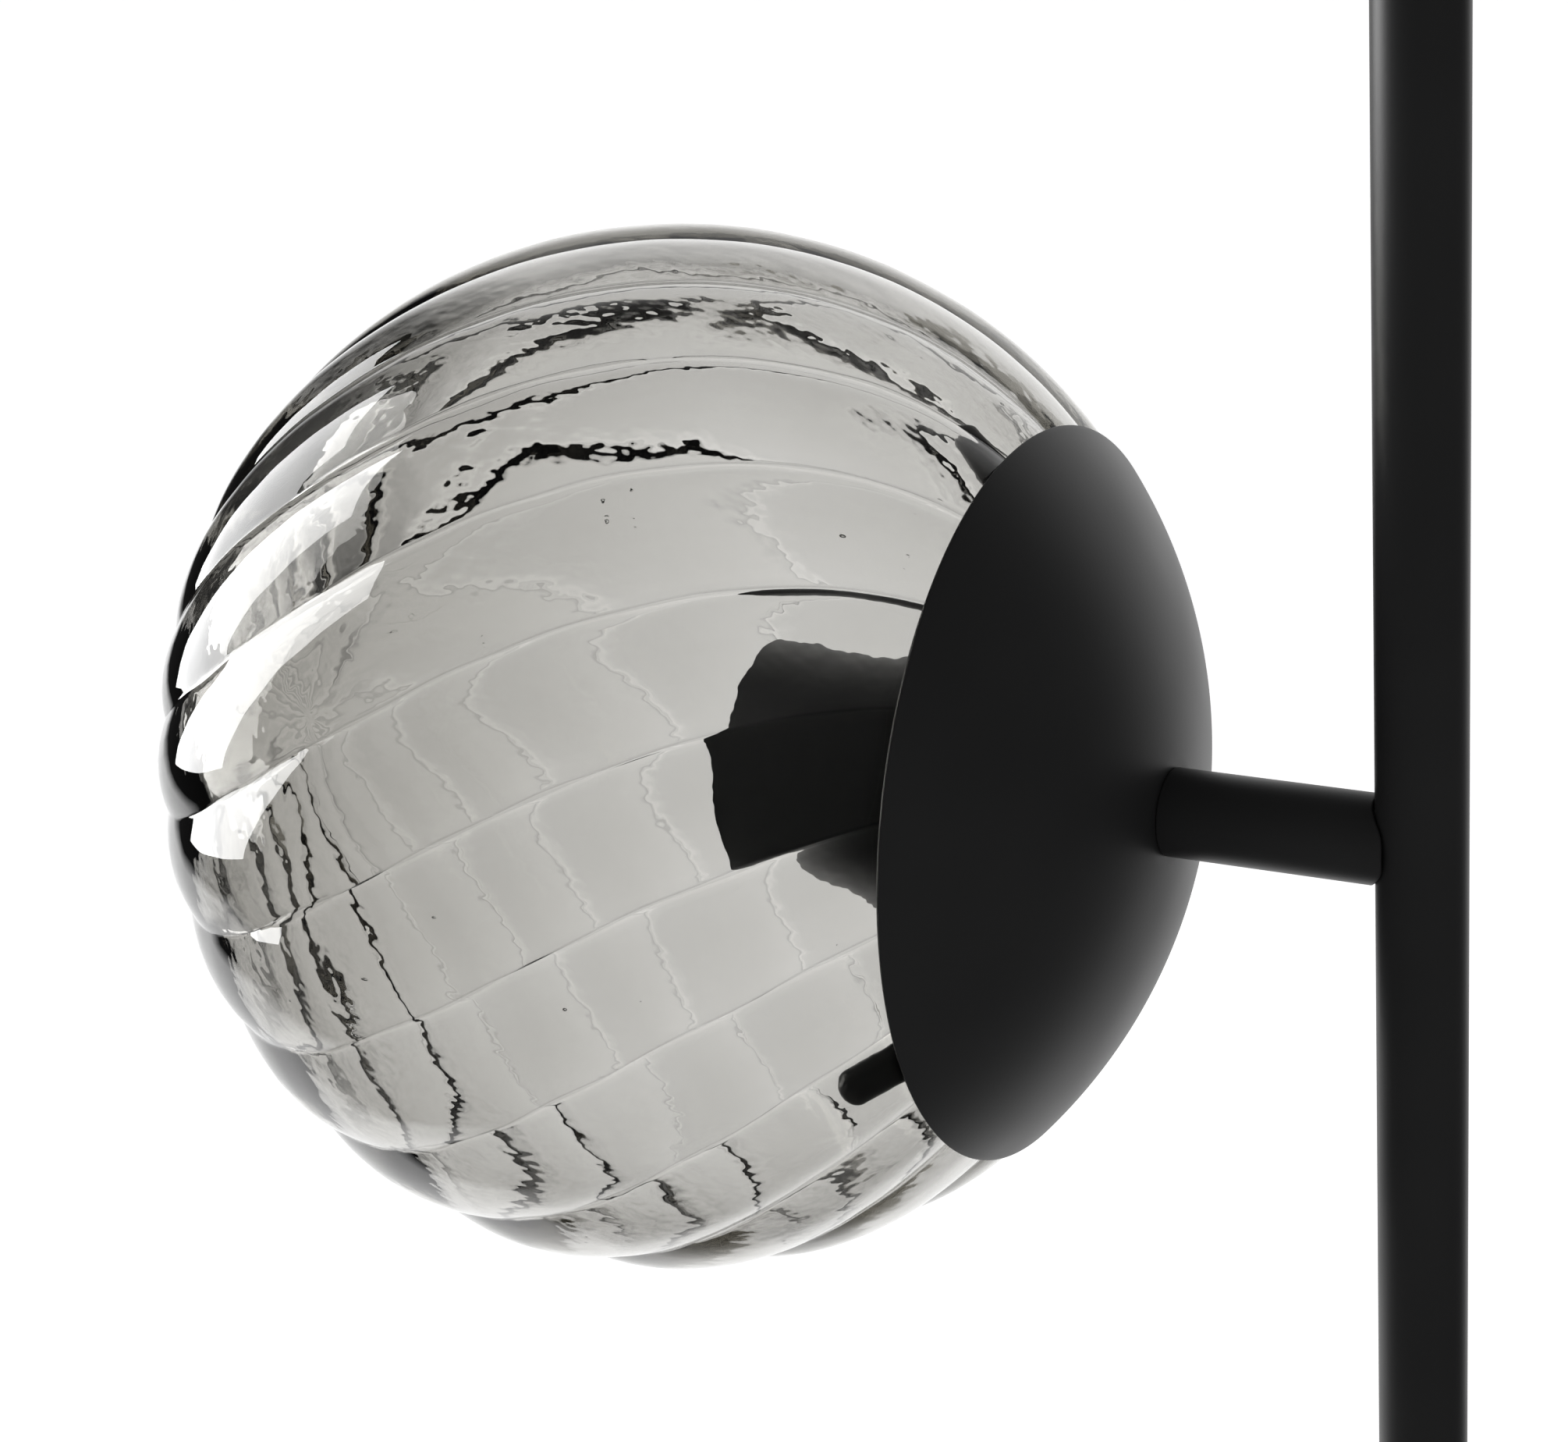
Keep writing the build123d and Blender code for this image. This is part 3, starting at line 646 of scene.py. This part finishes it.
def shape_glass(vert):
    """Moves a vertex of the plain turned glass to the ribbed surface."""
    x, y, z = (vert.co - globe_centre) / MM
    out = hypot(y, z)
    inside = hypot(x, out) < (GLASS_INNER + GLOBE_RADIUS) / 2
    level = x * GLOBE_RADIUS / GLASS_INNER if inside else x

    share = atan2(z, y) / rib_step + 0.5 / RIB_SEGMENTS
    rib = floor(share)
    turn = share - rib
    turn -= CROWDING * sin(tau * turn) / tau
    path = Vector((x / GROOVE_WANDER_LENGTH, (rib % RIBS) * 9.0, 8.0))
    near_groove = 1 - 2 * min(turn, 1 - turn)
    wander = GROOVE_WANDER * noise.noise(path) * near_groove
    angle = (rib + turn + wander) * rib_step + RIB_PHASE - RIB_TWIST * x

    ribbed = rib_radius(level, turn, INNER_SOFTNESS if inside else OUTER_SOFTNESS)
    if inside:
        drop = max(sqrt(max(GLOBE_RADIUS**2 - level**2, 0.01)) - ribbed, 0.0)
        ribbed = out + (INNER_CREST - INNER_SHARE * drop) * min(1.0, out / INNER_PLAIN_RADIUS)
    elif out < ON_THE_LINE:
        ribbed = out
    here = Vector((x, ribbed * cos(angle), ribbed * sin(angle)))

    slow = noise.noise(here / SWELL_LENGTH + Vector((inside, 5, 2)))
    swell = (INNER_SWELL if inside else OUTER_SWELL) * slow
    swell += SMALL_SWELL * noise.noise(here / SMALL_SWELL_LENGTH + Vector((3, inside, 7)))
    swell += INNER_SHIFT + MOUTH_THINNER * x / MOUTH if inside else OUTER_SHIFT
    if inside:
        swell -= POLE_EXTRA * max(0.0, -x / GLASS_INNER) ** 3
    moved = here * (1 + swell / here.length)
    if abs(x - MOUTH) < 0.01:
        moved.x = x
    vert.co = globe_centre + moved * MM

    wide = min(out / GLOBE_RADIUS, 1.0)  # keeps the painted highlight and shade lines of the tint equally wide everywhere
    vert[rib_share] = turn * wide if turn < 0.5 else 1 - (1 - turn) * wide


mouth_turn = acos(MOUTH / GLOBE_RADIUS)
inner_mouth_turn = acos(MOUTH / GLASS_INNER)
glass_profile = arc(GLOBE_RADIUS, pi, mouth_turn, GLASS_RINGS)
glass_profile += arc(GLASS_INNER, inner_mouth_turn, pi, GLASS_RINGS)
glass_profile[0] = (-GLOBE_RADIUS, 0.0)
glass_profile[-1] = (-GLASS_INNER, 0.0)
rib_steps = RIBS * RIB_SEGMENTS
glass = turned(glass_profile, globe_centre, ALONG_ARM, rib_steps, closed=False)
rib_share = glass.verts.layers.float.new("rib_share")
for vert in glass.verts:
    shape_glass(vert)
face_outwards(glass)
print("glass in it:", round(glass.calc_volume() * 1e6, 1), "cubic centimetres")

# %% [markdown]
# ## Seeds in the glass
#
# Blown glass carries a few tiny bubbles, which glassmakers call seeds, drawn out
# along the arm's line. Each is a small icosphere in the middle of the wall whose faces
# look inwards, because a bubble is a hole in the glass. A fixed start for the random
# numbers puts them in the same places each time, near the crests of the ribs.

# %% Blow the seeds
SEEDS = 40
SEED_RADII = (0.08, 0.11, 0.15, 0.22)
SEED_DEPTH = (0.9, 1.4)  # below the crest
SEED_STRETCH = (1.2, 2.6)
SEED_REACH = (-66, 52)  # along the arm's line

chance = random.Random(21)
seeds = bmesh.new()
for number in range(SEEDS):
    x = chance.uniform(*SEED_REACH)
    middle_of_rib = chance.randrange(RIBS) + chance.uniform(0.35, 0.65)
    angle = middle_of_rib * rib_step + RIB_PHASE - RIB_TWIST * x
    crest = sqrt(GLOBE_RADIUS**2 - x**2)
    out = crest - chance.uniform(*SEED_DEPTH) * GLOBE_RADIUS / crest
    size = chance.choice(SEED_RADII)
    seed = bmesh.ops.create_icosphere(seeds, subdivisions=2, radius=size * MM)["verts"]
    bmesh.ops.scale(seeds, verts=seed, vec=(chance.uniform(*SEED_STRETCH), 1, 1))
    place = globe_centre + Vector((x, out * cos(angle), out * sin(angle))) * MM
    bmesh.ops.translate(seeds, verts=seed, vec=place)
bmesh.ops.reverse_faces(seeds, faces=seeds.faces)
seed_mesh = bpy.data.meshes.new("seeds")
seeds.to_mesh(seed_mesh)
seeds.free()
glass.from_mesh(seed_mesh)
bpy.data.meshes.remove(seed_mesh)
print(SEEDS, "seeds in the glass")
finish_piece(glass, "ribbed_globe", "glass_globe", sharp=60.0)

# %% [markdown]
# ## The cup
#
# The cup is pressed from sheet and follows the globe, with a small flat for the arm.
# Its section is two arcs round the globe's centre, one for each side of the sheet,
# joined at the rim and at the hole for the stud, and turned round the arm's line.

# %% Model the cup
CUP_INNER = 75.3
CUP_WALL = 0.7
CUP_RIM_RADIUS = 50.8
CUP_SEAT_RADIUS = 7.0

cup_outer = CUP_INNER + CUP_WALL
cup_seat = sqrt(cup_outer**2 - CUP_SEAT_RADIUS**2)
rim_turn = acos(sqrt(cup_outer**2 - CUP_RIM_RADIUS**2) / cup_outer)
seat_turn = acos(cup_seat / cup_outer)
cup_floor = cup_seat - CUP_WALL
floor_turn = acos(cup_floor / CUP_INNER)
cup_profile = (
    [(cup_seat, THREAD_BORE)]
    + arc(cup_outer, seat_turn, rim_turn, 60)
    + arc(CUP_INNER, rim_turn, floor_turn, 60)
    + [(cup_floor, THREAD_BORE)]
)
cup = turned(cup_profile, globe_centre, ALONG_ARM, 240)
ease_edges(cup, 0.18, 50.0)
finish_piece(cup, "pressed_cup", "cup_shell")

# %% [markdown]
# ## The arm
#
# The arm is a plain tube, so it starts as a turned tube. The end at the post is
# hollowed to sit round it: its last rings of vertices move along the arm to the
# post's own radius and a hair of clearance. Where the hollow would end in two knife
# edges it is blunt, as a file leaves it.

# %% Model the arm
ARM_RADIUS = 6.1
ARM_BORE = 4.15
SADDLE_RADIUS = POST_RADIUS + 0.25
SADDLE_BLUNT = 3.6  # the saddle's thin tips are filed off this far from the post's centre

arm_end = GLOBE_REACH - POST_RADIUS
arm_profile = [
    (cup_seat, ARM_RADIUS), (cup_seat, ARM_BORE), (arm_end, ARM_BORE), (arm_end, ARM_RADIUS),
]
arm = turned(arm_profile, globe_centre, ALONG_ARM, 96)
for vert in (v for v in arm.verts if v.co.x > -2 * POST_RADIUS * MM):
    saddle = sqrt(max(SADDLE_RADIUS**2 - (vert.co.y / MM) ** 2, 0.0))
    vert.co.x = -(saddle**6 + SADDLE_BLUNT**6) ** (1 / 6) * MM
ease_edges(arm, 0.3, 50.0)
finish_piece(arm, "side_arm", "arm_tube")

# %% [markdown]
# ## The post
#
# Three steel tubes stand on each other. Each is turned as a tube with eased ends, so
# that the joints show as the hairlines they are, and a turned cap closes the top.

# %% Model the post
SECTION = 493.0
CAP_HEIGHT = 2.0
CAP_PLUG_LENGTH = 8.0
CAP_ROUND = 1.0

post_foot = Vector((0, 0, BASE_TOP * MM))
for number, name in enumerate(("lower", "middle", "upper")):
    foot, head = number * SECTION, (number + 1) * SECTION
    tube_profile = [(foot, POST_BORE), (foot, POST_RADIUS), (head, POST_RADIUS), (head, POST_BORE)]
    tube = ease_edges(turned(tube_profile, post_foot, UP, 96), 0.25)
    finish_piece(tube, f"{name}_tube", f"{name}_post")

post_height = 3 * SECTION
cap_top = post_height + CAP_HEIGHT
cap_profile = [
    (post_height - CAP_PLUG_LENGTH, 0), (post_height - CAP_PLUG_LENGTH, POST_BORE),
    (post_height, POST_BORE), (post_height, POST_RADIUS), (cap_top, POST_RADIUS), (cap_top, 0),
]
cap = turned(cap_profile, post_foot, UP, 96, closed=False)
round_ring(cap, BASE_TOP + cap_top, POST_RADIUS, CAP_ROUND, 6)
finish_piece(cap, "top_cap", "post_cap")

# %% [markdown]
# ## The lampholder
#
# A drawn can hides the lampholder, and both open towards the globe. The can is a
# turned shell. The moulded body has a stepped mouth. The brass shell carries the
# round thread of a small lamp cap: one pitch of its wave is swept along a helix, which
# is the spin operator with a step along its axis, and cut to length at both ends.

# %% Model the can and the moulded body
CAN_RADIUS = 17.15
CAN_WALL = 0.8
CAN_LENGTH = 56.0
CAN_BACK = 70.177  # along the arm's line, where the nut in the cup ends
HOLDER_DOME_LENGTH = 17.0  # the lampholder's back half
HOLDER_RADIUS = 14.0
HOLDER_RECESS = 2.0  # from the can's mouth
HOLDER_MOUTH_RADIUS = 10.0
HOLDER_MOUTH_DEPTH = 4.0
SHELL_LENGTH = 20.0
SHELL_SEAT_RADIUS = 7.45
CONTACT_ROOM = 5.0  # behind the shell

can_mouth = CAN_BACK - CAN_LENGTH
can_inner = CAN_RADIUS - CAN_WALL
can_floor = CAN_BACK - CAN_WALL
can_profile = [
    (can_mouth, can_inner), (can_mouth, CAN_RADIUS), (CAN_BACK, CAN_RADIUS),
    (CAN_BACK, THREAD_BORE), (can_floor, THREAD_BORE), (can_floor, can_inner),
]
can = ease_edges(turned(can_profile, globe_centre, ALONG_ARM, 128), 0.3, 50.0)
finish_piece(can, "drawn_can", "holder_can")

holder_mouth = can_mouth + HOLDER_RECESS
holder_back = can_floor - HOLDER_DOME_LENGTH
shell_mouth = holder_mouth + HOLDER_MOUTH_DEPTH
shell_seat = shell_mouth + SHELL_LENGTH + CONTACT_ROOM
body_profile = [
    (holder_mouth, HOLDER_MOUTH_RADIUS), (holder_mouth, HOLDER_RADIUS),
    (holder_back, HOLDER_RADIUS), (holder_back, 0.0),
    (shell_seat, 0.0), (shell_seat, SHELL_SEAT_RADIUS),
    (shell_mouth, SHELL_SEAT_RADIUS), (shell_mouth, HOLDER_MOUTH_RADIUS),
]
body = turned(body_profile, globe_centre, ALONG_ARM, 128, closed=False)
ease_edges(body, 0.5, 50.0)
finish_piece(body, "moulded_body", "holder_body")

# %% Model the thread shell
THREAD_PITCH = 2.82
THREAD_RADIUS = 6.78  # halfway up its wave
THREAD_WAVE = 0.22
THREAD_WALL = 0.35
WAVE_POINTS = 8
STEPS_A_TURN = 64


def thread_wave():
    """One pitch of a round thread, as (along, out)."""
    start = shell_mouth - THREAD_PITCH
    for i in range(WAVE_POINTS + 1):
        out = THREAD_RADIUS + THREAD_WAVE * cos(tau * i / WAVE_POINTS)
        yield start + THREAD_PITCH * i / WAVE_POINTS, out


thread = bmesh.new()
wave_verts = [thread.verts.new(along_arm(a, o)) for a, o in thread_wave()]
wave_edges = [thread.edges.new(pair) for pair in zip(wave_verts, wave_verts[1:])]
thread_turns = int(SHELL_LENGTH / THREAD_PITCH) + 3
bmesh.ops.spin(
    thread, geom=wave_verts + wave_edges, cent=globe_centre, axis=ALONG_ARM,
    dvec=ALONG_ARM * THREAD_PITCH * MM / STEPS_A_TURN, angle=tau * thread_turns,
    steps=STEPS_A_TURN * thread_turns, use_duplicate=False,
)
bmesh.ops.remove_doubles(thread, verts=thread.verts, dist=1e-6)
for end, side in ((shell_mouth, -1), (shell_mouth + SHELL_LENGTH, 1)):
    bmesh.ops.bisect_plane(
        thread, geom=thread.verts[:] + thread.edges[:] + thread.faces[:],
        plane_co=along_arm(end, 0), plane_no=ALONG_ARM * side, clear_outer=True,
    )
bmesh.ops.recalc_face_normals(thread, faces=thread.faces)

# an open skin has no volume to ask, so its faces are asked which way they look
inward = 0.0
for face in thread.faces:
    from_centre = face.calc_center_median() - globe_centre
    inward += face.normal.dot(from_centre.cross(ALONG_ARM).cross(ALONG_ARM))
if inward > 0:
    bmesh.ops.reverse_faces(thread, faces=thread.faces)
bmesh.ops.solidify(thread, geom=thread.faces[:], thickness=THREAD_WALL * MM)
finish_piece(thread, "thread_of_shell", "thread_shell", sharp=50.0)

# %% [markdown]
# ## Prongs and sleeves
#
# Three legs of flat spring strip run out past the lampholder, through the globe's
# mouth, and press on the glass from inside. The legs stay as the frame has them. Their
# soft sleeves are turned again here, each round its own leg: a rod with a domed end.

# %% Model the sleeves
PRONGS = 3
SLEEVE_RADIUS = 2.0
SLEEVE_LENGTH = 10.0
PRONG_GLASS_GAP = 0.5
LEG_MOUTH_GAP = 2.5
PRONG_REACH = 13.5  # along the glass, from its mouth to the prong's tip
DOME_POINTS = 8

tip_turn = acos(MOUTH / GLOBE_RADIUS) + PRONG_REACH / GLOBE_RADIUS
tip_radius = GLASS_INNER - SLEEVE_RADIUS - PRONG_GLASS_GAP
tip = Vector((tip_radius * cos(tip_turn), tip_radius * sin(tip_turn)))
waist = Vector((MOUTH, sqrt(GLASS_INNER**2 - MOUTH**2) - LEG_MOUTH_GAP))
leg_direction = (tip - waist).normalized()
sleeve_run = SLEEVE_LENGTH - SLEEVE_RADIUS
sleeve_start = tip - leg_direction * sleeve_run

dome_turns = [pi / 2 * i / DOME_POINTS for i in range(DOME_POINTS)]
sleeve_profile = [(0.0, 0.0), (0.0, SLEEVE_RADIUS)]
sleeve_profile += [
    (sleeve_run + SLEEVE_RADIUS * sin(t), SLEEVE_RADIUS * cos(t)) for t in dome_turns
]
sleeve_profile.append((sleeve_run + SLEEVE_RADIUS, 0.0))

sleeves = bmesh.new()
for prong in range(PRONGS):
    turn = Matrix.Rotation(tau * prong / PRONGS, 3, ALONG_ARM)
    start = globe_centre + turn @ (Vector((sleeve_start.x, 0, sleeve_start.y)) * MM)
    direction = turn @ Vector((leg_direction.x, 0, leg_direction.y))
    outwards = direction.orthogonal().normalized()
    sweep_round(sleeves, sleeve_profile, start, direction, outwards, 40)
close_up(sleeves)
ease_edges(sleeves, 0.3, 60.0)
finish_piece(sleeves, "soft_sleeves", "prong_sleeves")

# %% [markdown]
# ## The base
#
# The base is a spun dish with a rolled shoulder, over the weight, on a foam pad. The
# dish is turned from its section, and its shoulder is a bevel with many segments.

# %% Model the base
BASE_RADIUS = 125.0
BASE_SHEET = 1.0
BASE_SKIRT_GAP = 1.5  # from the floor
BASE_EDGE_ROUND = 4.0
PAD_RADIUS = 118.0
PAD_THICKNESS = 2.0

floor_centre = Vector((0, 0, 0))
dish_inner = BASE_RADIUS - BASE_SHEET
dish_ceiling = BASE_TOP - BASE_SHEET
dish_profile = [
    (BASE_TOP, THREAD_BORE), (BASE_TOP, BASE_RADIUS), (BASE_SKIRT_GAP, BASE_RADIUS),
    (BASE_SKIRT_GAP, dish_inner), (dish_ceiling, dish_inner), (dish_ceiling, THREAD_BORE),
]
dish = turned(dish_profile, floor_centre, UP, 256)
round_ring(dish, BASE_TOP, BASE_RADIUS, BASE_EDGE_ROUND, 10)
round_ring(dish, dish_ceiling, dish_inner, BASE_EDGE_ROUND - BASE_SHEET, 10)
ease_edges(dish, 0.3, 60.0)
finish_piece(dish, "spun_dish", "base_cover")

pad_profile = [(0, 0), (0, PAD_RADIUS), (PAD_THICKNESS, PAD_RADIUS), (PAD_THICKNESS, 0)]
pad = ease_edges(turned(pad_profile, floor_centre, UP, 192, closed=False), 0.4, 60.0)
finish_piece(pad, "foam_pad", "base_pad")

# %% [markdown]
# ## Camera
#
# The camera stands where the photograph's did. Its place and turn were solved from
# the photograph: the outline of the globe, the cup's rim, the arm and the two edges
# of the post fix its direction, its distance and how long its lens is.

# %% Camera
CAMERA_PLACE = Vector((133.95, -409.63, 1541.68)) * MM
CAMERA_AZIMUTH = radians(29.07)
CAMERA_ELEVATION = radians(21.62)
CAMERA_ROLL = radians(-4.18)
SENSOR = 36.0
FOCAL_SHARE = 4553.08 / 2010  # focal length over picture width

backward = Vector((
    sin(CAMERA_AZIMUTH) * cos(CAMERA_ELEVATION),
    -cos(CAMERA_AZIMUTH) * cos(CAMERA_ELEVATION),
    sin(CAMERA_ELEVATION),
))
level_right = Vector((cos(CAMERA_AZIMUTH), sin(CAMERA_AZIMUTH), 0))
level_up = backward.cross(level_right)
picture_right = level_right * cos(CAMERA_ROLL) + level_up * sin(CAMERA_ROLL)
picture_up = level_up * cos(CAMERA_ROLL) - level_right * sin(CAMERA_ROLL)

lens = bpy.data.cameras.new("photo_camera")
lens.sensor_fit = "HORIZONTAL"
lens.sensor_width = SENSOR
lens.lens = SENSOR * FOCAL_SHARE
lens.clip_start, lens.clip_end = 0.01, 100.0
camera = bpy.data.objects.new("photo_camera", lens)
bpy.context.scene.collection.objects.link(camera)
turned_to = Matrix((picture_right, picture_up, backward)).transposed().to_4x4()
camera.matrix_world = Matrix.Translation(CAMERA_PLACE) @ turned_to
bpy.context.scene.camera = camera
print("lens", round(lens.lens, 2), "mm")

# %% [markdown]
# ## The floor
#
# The floor is a pale, plain disc that is so wide that its edge is never seen. It glows
# a little, so that far away it is as white as the room behind it. Near the post it
# glows less: a painted shade round the lamp, darker within two metres, which also lets
# the lamp's own soft shadow show. Mirrored, or seen through glass, it is left out, and
# the lower half of the world stands in for it.

# %% Floor
FLOOR_RADIUS = 20.0
FLOOR_GLOW = 0.60
GLOW_RISES = (0.5, 2.0)  # metres from the post

floor_mesh = bmesh.new()
bmesh.ops.create_circle(floor_mesh, cap_ends=True, segments=96, radius=FLOOR_RADIUS)
floor_data = bpy.data.meshes.new("pale_floor")
floor_mesh.to_mesh(floor_data)
floor_mesh.free()
pale_floor = bpy.data.objects.new("pale_floor", floor_data)
bpy.context.scene.collection.objects.link(pale_floor)
floor_finish = Recipe("pale_floor")
fleck = floor_finish.grain(30.0, 2.0)
from_post = floor_finish.measure("LENGTH", floor_finish.place())
clear_of_painted_shade = floor_finish.between(from_post, *GLOW_RISES)
floor_data.materials.append(
    floor_finish.surface(
        {
            "Base Color": floor_finish.blend(fleck, colour(0.84), colour(0.86)),
            "Roughness": 0.9,
            "Specular IOR Level": 0.0,
            # painted shade: the floor glows at a fifth of full strength near the post, rising to
            # full two metres out
            "Emission Color": floor_finish.blend(clear_of_painted_shade, colour(0.2), colour(1.0)),
            "Emission Strength": FLOOR_GLOW,
        }
    )
)
pale_floor.visible_glossy = False
pale_floor.visible_transmission = False
print("floor radius", FLOOR_RADIUS, "m")

# %% [markdown]
# ## The room
#
# Glass and black metal have almost no colour of their own: they show what is round
# them. The photograph was made in front of a white sweep in an otherwise dark room.
# The world is plain white for the camera itself and soft light for matte surfaces.
# What the lamp mirrors and bends is a dark room with the white sweep in it. A look
# straight through the globe from another side finds a pale room there as well.

# %% World
SWEEP_WHITE = 1.15
DARK_ROOM = 0.022
GLASS_HAZE = 0.025  # stray light in the glass
SOFT_LIGHT, SOFT_SWEEP = 0.45, 0.9  # what matte surfaces get
BACKDROP = 1.1

sweep_heading = Vector((-backward.x, -backward.y, 0)).normalized()
left_heading = Vector((-level_right.x, -level_right.y, 0))

room = Recipe("studio", bpy.data.worlds.new("studio"), "World")
look = room.node("ShaderNodeTexCoord", output="Generated")


def towards(direction):
    """1 for a look that way, 0 for one at right angles to it."""
    return room.measure("DOT_PRODUCT", look, direction)


def larger(first, second):
    """The larger of two Wires."""
    return first.math("MAXIMUM", first, second)


# how far round a direction lies from the sweep's, in degrees, left positive
radians_left = look.math("ARCTAN2", towards(left_heading), towards(sweep_heading))
turn_left = radians_left * degrees(1)
height = room.axis(look, "Z")
right_side = room.between(turn_left, -70.0, -40.0)
left_edge = room.between(height, -0.50, -0.20, 60.0, 16.0)
left_side = room.between(turn_left - left_edge, 6.0, -4.0)
not_above = room.between(height, 0.75, 0.55) * 0.5 + room.between(height, 0.40, 0.15) * 0.5
not_below = room.between(height, -0.97, -0.85)
sweep = right_side * left_side * not_above * not_below
in_glass = room.light_path("Transmission Depth") > 0.5
mirrored = sweep * SWEEP_WHITE + in_glass * GLASS_HAZE + DARK_ROOM

# a look straight through the glass from another side still finds a pale room
far_left = room.between(turn_left, 44.0, 52.0)
far_right = room.between(turn_left, -30.0, -38.0)
far_down = room.between(height, -0.75, -0.90)
low_enough = room.between(height, 0.75, 0.45)
higher = right_side * left_side * not_below * low_enough * SWEEP_WHITE
through = larger(larger(higher, far_left), larger(far_right, far_down))
through = larger(through, mirrored)


def seen_straight(recipe):
    """1 for a ray that only went through glass; a world or light counts one turn more."""
    through_glass = recipe.light_path("Transmission Depth")
    reflections = recipe.light_path("Ray Depth") - through_glass - 1.0
    return (reflections < 0.5) * (through_glass > 0.5)


straight = seen_straight(room)
glossy = mirrored + straight * (through - mirrored)
soft = SOFT_LIGHT + sweep * SOFT_SWEEP
not_matte = (room.light_path("Diffuse Depth") < 0.5) * room.light_path("Is Glossy Ray")
lit = soft + not_matte * (glossy - soft)
lit = lit + room.light_path("Is Camera Ray") * (BACKDROP - lit)
background = room.node("ShaderNodeBackground", None, {"Strength": lit, "Color": colour(1.0)})
room.fill(room.output, {"Surface": background})
bpy.context.scene.world = room.made
print("world is ready")

# %% [markdown]
# ## The softbox
#
# A tall softbox stands to the left of the lamp and a little behind it. Its edges were
# measured from where its streaks lie in the glass of the photograph. It is six times
# as bright as white, which the streaks need, but a look straight through the globe
# sees it as plain white.

# %% Softbox
SOFTBOX_DISTANCE = 2.2
SOFTBOX_AZIMUTH = (104.5, 137.0)  # degrees round from the camera, to the left
SOFTBOX_ELEVATION = (-16.0, 36.0)
RADIANCE = 6.0


def from_lamp(azimuth, elevation):
    """A direction from the globe: azimuth to the left of the camera."""
    flat = -sweep_heading * cos(radians(azimuth)) + left_heading * sin(radians(azimuth))
    return flat * cos(radians(elevation)) + UP * sin(radians(elevation))


middle = from_lamp(sum(SOFTBOX_AZIMUTH) / 2, sum(SOFTBOX_ELEVATION) / 2)
softbox_light = bpy.data.lights.new("left_softbox", "AREA")
softbox_light.shape = "RECTANGLE"
half_width = radians(SOFTBOX_AZIMUTH[1] - SOFTBOX_AZIMUTH[0]) / 2
half_height = radians(SOFTBOX_ELEVATION[1] - SOFTBOX_ELEVATION[0]) / 2
softbox_light.size = 2 * SOFTBOX_DISTANCE * sin(half_width) / cos(half_width)
softbox_light.size_y = 2 * SOFTBOX_DISTANCE * sin(half_height) / cos(half_height)
softbox_light.energy = RADIANCE * pi * softbox_light.size * softbox_light.size_y
glow = Recipe("left_softbox", softbox_light, "Light")
strength = 1.0 - seen_straight(glow) * (1.0 - 1.0 / RADIANCE)
emission = glow.node("ShaderNodeEmission", None, {"Color": colour(1.0), "Strength": strength})
glow.fill(glow.output, {"Surface": emission})
softbox = bpy.data.objects.new("left_softbox", softbox_light)
bpy.context.scene.collection.objects.link(softbox)
side = UP.cross(middle).normalized()
rise = middle.cross(side)
facing = Matrix((side, rise, middle)).transposed().to_4x4()
softbox.matrix_world = Matrix.Translation(globe_centre + middle * SOFTBOX_DISTANCE) @ facing
softbox.visible_camera = False
print("softbox", round(softbox_light.size, 2), "by", round(softbox_light.size_y, 2), "m")

# %% [markdown]
# ## Settings that glass needs
#
# A ray that looks through the globe crosses four surfaces, and one that is caught in
# a rib many more, so it may turn up to two dozen times before it is given up.

# %% Render settings
scene = bpy.context.scene
scene.view_settings.view_transform = "Standard"
scene.cycles.max_bounces = 24
scene.cycles.transmission_bounces = 24
scene.cycles.glossy_bounces = 12
scene.cycles.transparent_max_bounces = 24
scene.cycles.caustics_refractive = True
scene.cycles.caustics_reflective = True
